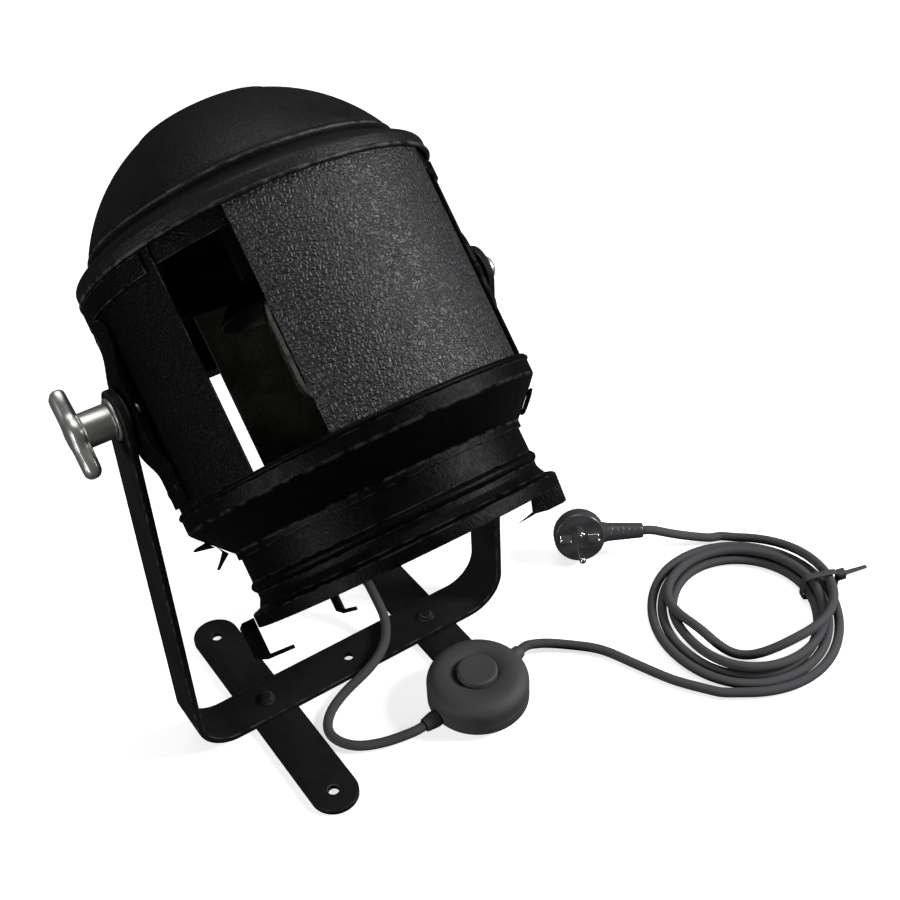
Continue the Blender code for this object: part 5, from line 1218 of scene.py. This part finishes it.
@dataclass
class Pivots:
    """Studs, washers, cap nut and the cast hand knob."""

    washer_thick: float = 0.0013
    washer_radius: float = 0.0115
    nut_washer_radius: float = 0.0095
    hole: float = 0.0043
    stud_radius: float = 0.0040
    stud_head: float = 0.0070
    stud_head_thick: float = 0.0040
    knob_depth: float = 0.0170
    nut_length: float = 0.0066
    nut_radius: float = 0.0072

    def turned(self, name: str, outline: Sequence[Pair], side: float, sides: int = 72) -> bpy.types.Object:
        """Turned piece on the tilt axis whose stations run inward."""
        turn = Matrix.Rotation(math.pi / 2 * side, 4, "Y")
        return revolve(name, outline, HEAD_PLACE @ turn, sides)

    def ring(self, name: str, face: float, radius: float, thick: float, side: float) -> bpy.types.Object:
        """Flat washer with rounded edges."""
        outline = [(self.hole, -face), (radius, -face), (radius, -face - thick), (self.hole, -face - thick)]
        return self.turned(name, soften(outline, 0.0003), side)

    def build(self) -> None:
        """Build and dress the pivots."""
        inner = PANEL_RADIUS - PANEL_SHEET - SEAT * 2
        shim = YOKE_HALF_WIDTH - BAR_THICK - STRAP_RAISED - SEAT * 2
        knob_face = YOKE_HALF_WIDTH + SEAT * 2 + self.washer_thick
        ends = {"left": knob_face + self.knob_depth - SEAT * 2, "right": knob_face + self.nut_length * 0.55}
        for name, side in (("left", -1.0), ("right", 1.0)):
            head = -inner + self.stud_head_thick
            outline = soften([
                (0.0, head), (self.stud_head, head), (self.stud_head, -inner), (self.stud_radius, -inner),
                (self.stud_radius, -ends[name]), (0.0, -ends[name])], 0.0005)
            dress(self.turned(name + "_stud_bolt", outline, side), Body.HEAD, STEEL, name + "_pivot_stud")
            ring = self.ring(name + "_fibre_washer", STRAP_RAISED + SEAT, self.washer_radius, shim, side)
            dress(ring, Body.HEAD, FIBRE, name + "_friction_washer")
        for name, node, radius, side in (
            ("knob_side_washer", "knob_washer", self.washer_radius, -1.0),
            ("nut_side_washer", "nut_washer", self.nut_washer_radius, 1.0),
        ):
            ring = self.ring(name, YOKE_HALF_WIDTH + SEAT, radius, self.washer_thick, side)
            dress(ring, Body.STAND, STEEL, node)
        self.nut(knob_face)
        dress(carried("hand_knob", "cast_hand_knob", 0.0005), Body.KNOB, CAST_ALUMINIUM)

    def nut(self, face: float) -> None:
        """Domed cap nut."""
        radius, length = self.nut_radius, self.nut_length
        outline = [(self.hole, -face), (radius, -face), (radius, -face - length * 0.40)]
        for turn in quarter(12):
            outline.append((radius * math.cos(turn), -face - length * (0.40 + 0.60 * math.sin(turn))))
        outline += [(0.0, -face - length), (0.0, -face - length * 0.62), (self.hole, -face - length * 0.62)]
        dress(self.turned("cap_nut_dome", outline, 1.0), Body.HEAD, STEEL, "dome_nut")


# Stand


@dataclass
class Stand:
    """Yoke and two feet of flat bar, with their rivets."""

    width: float = 0.030
    thick: float = BAR_THICK
    edge: float = 0.0006
    hole: float = 0.0034
    pivot_hole: float = 0.0045
    bend: float = 0.026
    foot_half: float = 0.0928
    foot_x: float = 0.0606
    foot_y: float = -0.0055
    hole_y: float = 0.0770

    def section(self, half: float) -> list[Pair]:
        """Rounded section of the bar, (out, across) pairs."""
        side = self.thick / 2
        return soften([(side, -half), (side, half), (-side, half), (-side, -half)], self.edge, 3)

    def yoke(self) -> bpy.types.Object:
        """Bar bent to a U with round arm ends and holes."""
        side = YOKE_HALF_WIDTH - self.thick / 2
        base = self.thick + SEAT + self.thick / 2
        bend = self.bend - self.thick / 2
        radius = self.width / 2
        top = PIVOT_HEIGHT + radius
        rows: list[tuple[Vector, Vector, float]] = []
        for step in range(1, 17):
            turn = math.pi / 2 * step / 16
            rows.append((
                Vector((-side, 0.0, top - radius * (1 - math.cos(turn)))), Vector((-1.0, 0.0, 0.0)),
                radius * math.sin(turn)))
        for level in (0.20, 0.12, base + bend + 0.004):
            rows.append((Vector((-side, 0.0, level)), Vector((-1.0, 0.0, 0.0)), radius))
        for step in range(25):
            turn = math.pi / 2 * step / 24
            out = Vector((-math.cos(turn), 0.0, -math.sin(turn)))
            rows.append((Vector((-side + bend, 0.0, base + bend)) + out * bend, out, radius))
        rows.append((Vector((-side + bend + 0.004, 0.0, base)), Vector((0.0, 0.0, -1.0)), radius))
        rows += [
            (Vector((-p.x, p.y, p.z)), Vector((-o.x, o.y, o.z)), half) for p, o, half in reversed(rows)
        ]
        rings = []
        for place, out, half in rows:
            section = self.section(half)
            rings.append([place + out * reach + Vector((0.0, across, 0.0)) for reach, across in section])
        item = loft("yoke_bar", rings)
        item = cut(item, self.drill(self.pivot_hole, (0.0, 0.0, PIVOT_HEIGHT), 0.12, math.pi / 2))
        for x in (-self.foot_x, 0.0, self.foot_x):
            item = cut(item, self.drill(self.hole, (x, 0.0, base), self.thick))
        return item

    def drill(self, radius: float, place: Triple, half: float, lean: float = 0.0) -> bpy.types.Object:
        """Round cutter for a hole along Z, or leant from it about Y."""
        outline = [(0.0, -half), (radius, -half), (radius, half), (0.0, half)]
        return revolve("drill", outline, Matrix.Translation(place) @ Matrix.Rotation(lean, 4, "Y"), 32)

    def foot(self, name: str, x: float) -> bpy.types.Object:
        """Cross bar with round ends, rounded edges and countersunk holes."""
        edge, thick = self.edge, self.thick
        levels = (
            (0.0, edge), (edge * 0.3, edge * 0.3), (edge, 0.0), (thick - edge, 0.0),
            (thick - edge * 0.3, edge * 0.3), (thick, edge))
        straight = self.foot_half - self.width / 2
        rings = []
        for level, inset in levels:
            ring = []
            radius = self.width / 2 - inset
            for end, base in ((1.0, 0.0), (-1.0, math.pi)):
                for step in range(33):
                    turn = base + math.pi * step / 32
                    y = self.foot_y + end * straight + radius * math.sin(turn)
                    ring.append(Vector((x + radius * math.cos(turn), y, level)))
            rings.append(ring)
        item = loft(name, rings)
        above = -thick - 0.0004
        outline = [
            (0.0, 0.001), (self.hole, 0.001), (self.hole, -thick + 0.0006), (0.0044, above), (0.0, above)]
        for y in (self.foot_y - self.hole_y, self.foot_y + self.hole_y):
            item = cut(item, revolve("drill", outline, Matrix.Translation((x, y, 0.0)), 40))
        return item

    def build(self) -> None:
        """Build and dress the stand."""
        dress(self.yoke(), Body.STAND, STAND_PAINT, "yoke")
        for side, x in (("left", -self.foot_x), ("right", self.foot_x)):
            dress(self.foot(side + "_foot_bar", x), Body.STAND, STAND_PAINT, side + "_foot")
        place = Matrix.Translation((-self.foot_x, 0.0, self.thick * 2 + SEAT * 2 - 0.0004))
        rivets = StudRow(2, self.foot_x * 2, 0.0058, 0.0032).build("foot_rivets", place, STAND_PAINT)
        dress(rivets, Body.STAND, STAND_PAINT, "left_foot_rivet", "right_foot_rivet")


@dataclass
class Switch:
    """Round foot switch with its button and two cord sleeves."""

    x: float = 0.0512
    y: float = -0.0745
    radius: float = 0.0325
    lift: float = 0.0043
    base_height: float = 0.0080
    height: float = 0.0220
    crown: float = 0.0090
    button_radius: float = 0.0130
    proud: float = 0.0034
    travel: float = 0.0025
    stem_radius: float = 0.0060
    sleeve_length: float = 0.0100
    inlet_angle: float = 184.0
    outlet_angle: float = 16.0
    pieces: list[bpy.types.Object] = field(default_factory=list)

    def port(self, angle: float) -> tuple[Vector, Vector]:
        """Start of a sleeve on the wall, and the way that it points."""
        turn = math.radians(angle)
        out = Vector((math.cos(turn), math.sin(turn), 0.0))
        level = self.lift + self.base_height * 0.5
        return Vector((self.x, self.y, level)) + out * (self.radius + SEAT), out

    def build(self) -> None:
        """Build and dress the switch."""
        place = Matrix.Translation((self.x, self.y, 0.0))
        base = self.lift
        split = base + self.base_height
        outline = soften([(0.0, -base), (self.radius * 0.98, -base), (self.radius, -base - 0.0011),
                          (self.radius, -split), (0.0, -split)], 0.0005)
        body = revolve("switch_base_disc", outline, place, 128)
        dress(body, Body.STAND, SWITCH_PLASTIC, "switch_base")
        low = split + SEAT
        top = base + self.height
        bore = self.button_radius + SEAT
        stem = self.stem_radius + SEAT
        well = top - self.travel - SEAT * 2 - self.proud
        path = [(stem, -low), (self.radius, -low)]
        for turn in quarter(16, 0, 1):
            path.append((self.radius - self.crown * (1 - math.cos(turn)),
                         -(top - self.crown * 0.9) - self.crown * 0.9 * math.sin(turn)))
        path += [(bore + 0.0010, -top), (bore, -top + 0.0008), (bore, -well), (stem, -well)]
        cover = revolve("switch_cover_dome", path, place, 128)
        dress(cover, Body.STAND, SWITCH_PLASTIC, "switch_cover")
        under = well + self.travel + SEAT
        stem_end = low + self.travel + SEAT
        crown = top + self.proud
        radius = self.button_radius
        outline = [(0.0, -stem_end), (self.stem_radius, -stem_end), (self.stem_radius, -under),
                   (radius, -under), (radius, -crown + self.proud * 0.45)]
        for turn in quarter(10):
            outline.append((radius - radius * 0.14 * (1 - math.cos(turn)),
                            -crown + self.proud * 0.45 * (1 - math.sin(turn))))
        outline += [(radius * 0.80, -crown), (radius * 0.55, -crown + 0.0003), (0.0, -crown + 0.0006)]
        button = revolve("switch_push_button", outline, place, 96)
        dress(button, Body.BUTTON, SWITCH_PLASTIC, "switch_button")
        self.pieces = [body, cover]
        hole = CORD_RADIUS + SEAT
        ports = {"switch_inlet_sleeve": self.inlet_angle, "switch_outlet_sleeve": self.outlet_angle}
        for node, angle in ports.items():
            start, out = self.port(angle)
            outline = soften([(hole, 0.0), (0.0055, 0.0), (0.0055, 0.0030), (0.0044, self.sleeve_length),
                              (hole, self.sleeve_length)], 0.0004)
            turn = out.to_track_quat("Z", "Y").to_matrix().to_4x4()
            sleeve = revolve(node + "_rubber", outline, Matrix.Translation(start) @ turn, 56, flip=-1.0)
            self.pieces.append(dress(sleeve, Body.STAND, SWITCH_PLASTIC, node))


@dataclass
class Plug:
    """Moulded mains plug: round body, ribbed boot, two pins and two earth contacts."""

    x: float = 0.1807
    y: float = -0.0140
    radius: float = 0.0178
    depth: float = 0.0165
    lean: float = 20.0
    turn: float = -32.4
    boot_length: float = 0.0270
    boot_root: float = 0.0080
    pin_length: float = 0.0190
    pin_radius: float = 0.0024
    pin_reach: float = 0.0095
    pieces: list[bpy.types.Object] = field(default_factory=list)

    def place(self) -> Matrix:
        """Frame of the plug: Z along the pins, X along the boot."""
        turn, lean = math.radians(self.turn), math.radians(self.lean)
        boot = Vector((math.cos(turn), math.sin(turn), 0.0))
        level = Vector((math.sin(turn), -math.cos(turn), 0.0))
        pins = level * math.cos(lean) + Vector((0.0, 0.0, math.sin(lean)))
        side = pins.cross(boot)
        height = self.radius * math.cos(lean) + self.depth * math.sin(lean) + SEAT
        turned = Matrix((boot, side, pins)).transposed().to_4x4()
        return Matrix.Translation((self.x, self.y, height)) @ turned

    def boot_end(self) -> tuple[Vector, Vector]:
        """Where the cord enters the boot, and the way that the boot points."""
        place = self.place()
        point = place @ Vector((self.radius + self.boot_length + 0.0003, 0.0, -self.depth * 0.5))
        return point, (place.to_3x3() @ Vector((1.0, 0.0, 0.0))).normalized()

    def build(self) -> None:
        """Build and dress the plug."""
        place = self.place()
        radius, depth = self.radius, self.depth
        outline = soften([
            (0.0, 0.0), (radius * 0.94, 0.0), (radius, depth * 0.10), (radius, depth * 0.62),
            (radius * 0.93, depth * 0.85), (radius * 0.78, depth), (0.0, depth)], 0.0012)
        body = revolve("plug_round_body", outline, place, 112)
        dress(body, Body.STAND, PLUG_PLASTIC, "plug_body")
        middle = Matrix.Translation((0.0, 0.0, -depth * 0.5))
        boot_place = place @ middle @ Matrix.Rotation(math.pi / 2, 4, "Y")
        root = self.boot_root
        outline = [(0.0, 0.0090), (root, 0.0090), (root * 0.92, 0.0165), (root * 0.80, 0.0210),
                   (0.0052, 0.0440), (0.0046, 0.0448), (0.0034, 0.0448), (0.0034, 0.0400), (0.0, 0.0400)]
        boot = revolve("plug_boot_sleeve", soften(outline, 0.0008), boot_place, 64, flip=-1.0)
        dress(boot, Body.STAND, PLUG_PLASTIC)
        ribs = RibRow(6, 0.0040, 0.0056, 0.0046, 0.0009).build(
            "plug_boot_ribs", boot_place @ Matrix.Translation((0.0, 0.0, 0.0225)), PLUG_PLASTIC)
        dress(ribs, Body.STAND, PLUG_PLASTIC)
        self.pieces = [body, boot, ribs]
        for node, side in (("plug_pin_upper", 1.0), ("plug_pin_lower", -1.0)):
            tip, thick = self.pin_length, self.pin_radius
            outline = [(0.0, 0.0054), (thick, 0.0054), (thick, -tip + thick)]
            for turn in quarter(10):
                outline.append((thick * math.cos(turn), -tip + thick * (1 - math.sin(turn))))
            outline.append((0.0, -tip))
            pin_place = place @ Matrix.Translation((0.0, side * self.pin_reach, 0.0))
            pin = revolve(node + "_metal", outline, pin_place, 40)
            self.pieces.append(dress(pin, Body.STAND, NICKEL, node))
        for node in ("earth_contact_outer", "earth_contact_inner"):
            self.pieces.append(dress(carried(node, node + "_strip", 0.0003), Body.STAND, NICKEL))


# Cords


def smooth_route(points: Sequence[Vector], spacing: float) -> list[Vector]:
    """Even points on a smooth curve through route points."""
    padded = [points[0] * 2 - points[1], *points, points[-1] * 2 - points[-2]]
    fine = []
    for index in range(1, len(padded) - 2):
        p0, p1, p2, p3 = padded[index - 1:index + 3]
        for step in range(16):
            t = step / 16
            bend = p0 * 2 - p1 * 5 + p2 * 4 - p3
            twist = p1 * 3 - p0 - p2 * 3 + p3
            fine.append((p1 * 2 + (p2 - p0) * t + bend * t * t + twist * t * t * t) / 2)
    fine.append(padded[-2])
    return even_points(fine, spacing)


def even_points(line: Sequence[Vector], spacing: float) -> list[Vector]:
    """Points at even steps along a line of points."""
    lengths = [0.0]
    for before, after in zip(line, line[1:]):
        lengths.append(lengths[-1] + (after - before).length)
    count = max(3, round(lengths[-1] / spacing))
    even = []
    cursor = 0
    for step in range(count + 1):
        target = lengths[-1] * step / count
        while cursor < len(lengths) - 2 and lengths[cursor + 1] < target:
            cursor += 1
        span = lengths[cursor + 1] - lengths[cursor]
        share = (target - lengths[cursor]) / span if span > 0 else 0.0
        even.append(line[cursor].lerp(line[cursor + 1], min(share, 1.0)))
    return even


def line_length(line: Sequence[Vector]) -> float:
    """Length of a line of points."""
    return sum((after - before).length for before, after in zip(line, line[1:]))


def cubic(values: Sequence[float], where: float) -> float:
    """Smooth value between even samples."""
    index = min(int(where), len(values) - 2)
    t = where - index
    p1, p2 = values[index], values[index + 1]
    p0 = values[index - 1] if index > 0 else p1 * 2 - p2
    p3 = values[index + 2] if index + 2 < len(values) else p2 * 2 - p1
    bend = p0 * 2 - p1 * 5 + p2 * 4 - p3
    twist = p1 * 3 - p0 - p2 * 3 + p3
    return (p1 * 2 + (p2 - p0) * t + bend * t * t + twist * t * t * t) / 2


@dataclass
class Cords:
    """The lead from the lamp to the foot switch, and the mains lead with its coil."""

    radius: float = CORD_RADIUS
    sides: int = 20
    spacing: float = 0.0022
    coil_place: Pair = (0.2360, -0.1160)
    coil_radius: float = 0.0726
    coil_start: float = -132.0
    lamp_route: tuple[Triple, ...] = (
        (0.0052, 0.0560, 0.1555), (0.0095, 0.0455, 0.1340), (0.0170, 0.0390, 0.1000),
        (0.0255, 0.0370, 0.0680), (0.0330, 0.0340, 0.0420), (0.0365, 0.0250, 0.0230),
        (0.0355, 0.0120, 0.0140), (0.0300, 0.0010, 0.0121),
        (0.0210, -0.0100, 0.0121), (0.0050, -0.0188, 0.0106), (-0.0160, -0.0222, 0.0048),
        (-0.0330, -0.0310, 0.0034), (-0.0412, -0.0450, 0.0034), (-0.0340, -0.0610, 0.0034),
        (-0.0170, -0.0705, 0.0038),
    )
    switch_route: tuple[Triple, ...] = (
        (0.1105, -0.0650, 0.0062), (0.1240, -0.0740, 0.0038), (0.1390, -0.0900, 0.0034),
        (0.1490, -0.1130, 0.0034), (0.1600, -0.1380, 0.0034),
    )
    plug_route: tuple[Triple, ...] = (
        (0.2690, -0.0545, 0.0038), (0.2560, -0.0465, 0.0066), (0.2420, -0.0405, 0.0125),
    )
    coil_radii: tuple[float, ...] = (
        1.006, 0.967, 0.890, 0.878, 0.843, 0.815, 0.799, 0.844, 0.906, 0.867, 0.796, 0.784, 0.749, 0.721,
        0.705, 0.749, 0.811, 0.772, 0.702, 0.690, 0.655, 0.626, 0.609, 0.640, 0.788, 0.790, 0.750, 0.737,
        0.702, 0.674, 0.658, 0.535, 0.578, 0.680, 0.828, 0.918, 0.962,
    )
    coil_heights: tuple[float, ...] = (
        0.54, 0.58, 0.84, 0.64, 0.54, 0.54, 0.54, 0.54, 0.54, 0.58, 0.84, 0.64, 0.54, 0.54, 0.54, 0.54,
        0.54, 0.58, 0.84, 0.64, 0.54, 0.54, 0.54, 0.97, 1.64, 1.68, 1.84, 1.66, 1.54, 1.54, 1.66, 1.84,
        0.64, 2.72, 2.72, 1.84, 0.60,
    )

    def joined(self, start: Vector, way: Vector, route: Iterable[Triple], end: Vector,
               end_way: Vector) -> list[Vector]:
        """Line between two ends through a route, straight for one diameter at each end."""
        lead = self.radius * 2
        middle = smooth_route([start + way * lead, *(Vector(p) for p in route), end + end_way * lead], lead)
        return [start, *middle, end]

    def coil(self) -> list[Vector]:
        """Line of the lying coil with a straight diameter at both ends."""
        turns = (len(self.coil_radii) - 1) / 8
        count = round(turns * 48)
        line = []
        for step in range(count + 1):
            where = turns * 8 * step / count
            turn = math.radians(self.coil_start) + math.tau * where / 8
            reach = self.coil_radius * cubic(self.coil_radii, where)
            rise = self.radius * 2 * cubic(self.coil_heights, where)
            across, along = reach * math.cos(turn), reach * math.sin(turn)
            line.append(Vector((self.coil_place[0] + across, self.coil_place[1] + along, rise)))
        first = (line[0] - line[1]).normalized()
        last = (line[-1] - line[-2]).normalized()
        first.z = 0.0
        last.z *= 0.5
        lead = self.radius * 2
        return [line[0] + first.normalized() * lead, *line, line[-1] + last.normalized() * lead]

    def tube(self, name: str, line: Sequence[Vector]) -> bpy.types.Object:
        """Round tube along a line, with closed ends."""
        points: list[Vector] = []
        side_way = (line[1] - line[0]).cross(Vector((0.0, 0.0, 1.0))).normalized()
        last = len(line) - 1
        for index, point in enumerate(line):
            way = (line[min(index + 1, last)] - line[max(index - 1, 0)]).normalized()
            side_way = (side_way - way * side_way.dot(way)).normalized()
            rise = way.cross(side_way)
            for side in range(self.sides):
                turn = math.tau * side / self.sides
                points.append(point + (side_way * math.cos(turn) + rise * math.sin(turn)) * self.radius)
        faces: list[Face] = [list(range(self.sides)), list(range(len(points) - self.sides, len(points)))]
        for low in range(0, len(points) - self.sides, self.sides):
            for side in range(self.sides):
                beside = (side + 1) % self.sides
                faces.append((low + side, low + beside, low + self.sides + beside, low + self.sides + side))
        return make_piece(name, points, faces)

    def eased(self, line: Sequence[Vector]) -> list[Vector]:
        """Even line with its joins smoothed."""
        even = even_points(line, self.spacing)
        for _ in range(3):
            middle = [(a + b * 2 + c) / 4 for a, b, c in zip(even, even[1:], even[2:])]
            even = [even[0], *middle, even[-1]]
        return even

    def build(self, switch: Switch, plug: Plug, tie: bpy.types.Object) -> None:
        """Args:
            switch: The foot switch, for its two ports.
            plug: The plug, for the end of its boot.
            tie: The cable tie round the coil; not used.
        """
        start = HEAD_PLACE @ (Vector(GLAND_PLACE) - Vector((0.0, 0.0, 0.0300 + SEAT * 2)))
        way = (HEAD_PLACE.to_3x3() @ Vector((0.0, 0.0, -1.0))).normalized()
        port, out = switch.port(switch.inlet_angle)
        inlet = port + out * (switch.sleeve_length + SEAT)
        line = self.eased(self.joined(start, way, self.lamp_route, inlet, out))
        lead = self.tube("lamp_cord", line)
        lead.data.materials.append(CORD_SHEATH.material())
        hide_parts("lamp_lead")
        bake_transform(lead)
        LOG.info("lamp_cord is %.4f m long", line_length(line))
        coil = self.coil()
        port, out = switch.port(switch.outlet_angle)
        outlet = port + out * (switch.sleeve_length + SEAT)
        into = (coil[0] - coil[1]).normalized()
        leave = (coil[-1] - coil[-2]).normalized()
        first = self.joined(outlet, out, self.switch_route, coil[0] + into * SEAT, into)
        boot, boot_way = plug.boot_end()
        final = self.joined(coil[-1] + leave * SEAT, leave, self.plug_route, boot, boot_way)
        line = self.eased([*first, *coil, *final])
        mains = self.tube("mains_cord", line)
        dress(mains, Body.STAND, CORD_SHEATH, "switch_lead", "cord_coil", "plug_lead")
        LOG.info("mains_cord is %.4f m long", line_length(line))


def main() -> None:
    """Build every part of the scene in order."""
    logging.basicConfig(level=logging.INFO, format="%(message)s")
    Studio().build()
    switch = Switch()
    switch.build()
    plug = Plug()
    plug.build()
    tie = dress(carried("cable_tie", "coil_tie_strap", 0.0002), Body.STAND, TIE_PLASTIC)
    Cords().build(switch, plug, tie)
    HeadShell().build()
    FrontFittings().build()
    LampInside().build()
    Pivots().build()
    Stand().build()


if __name__ == "__main__":
    main()
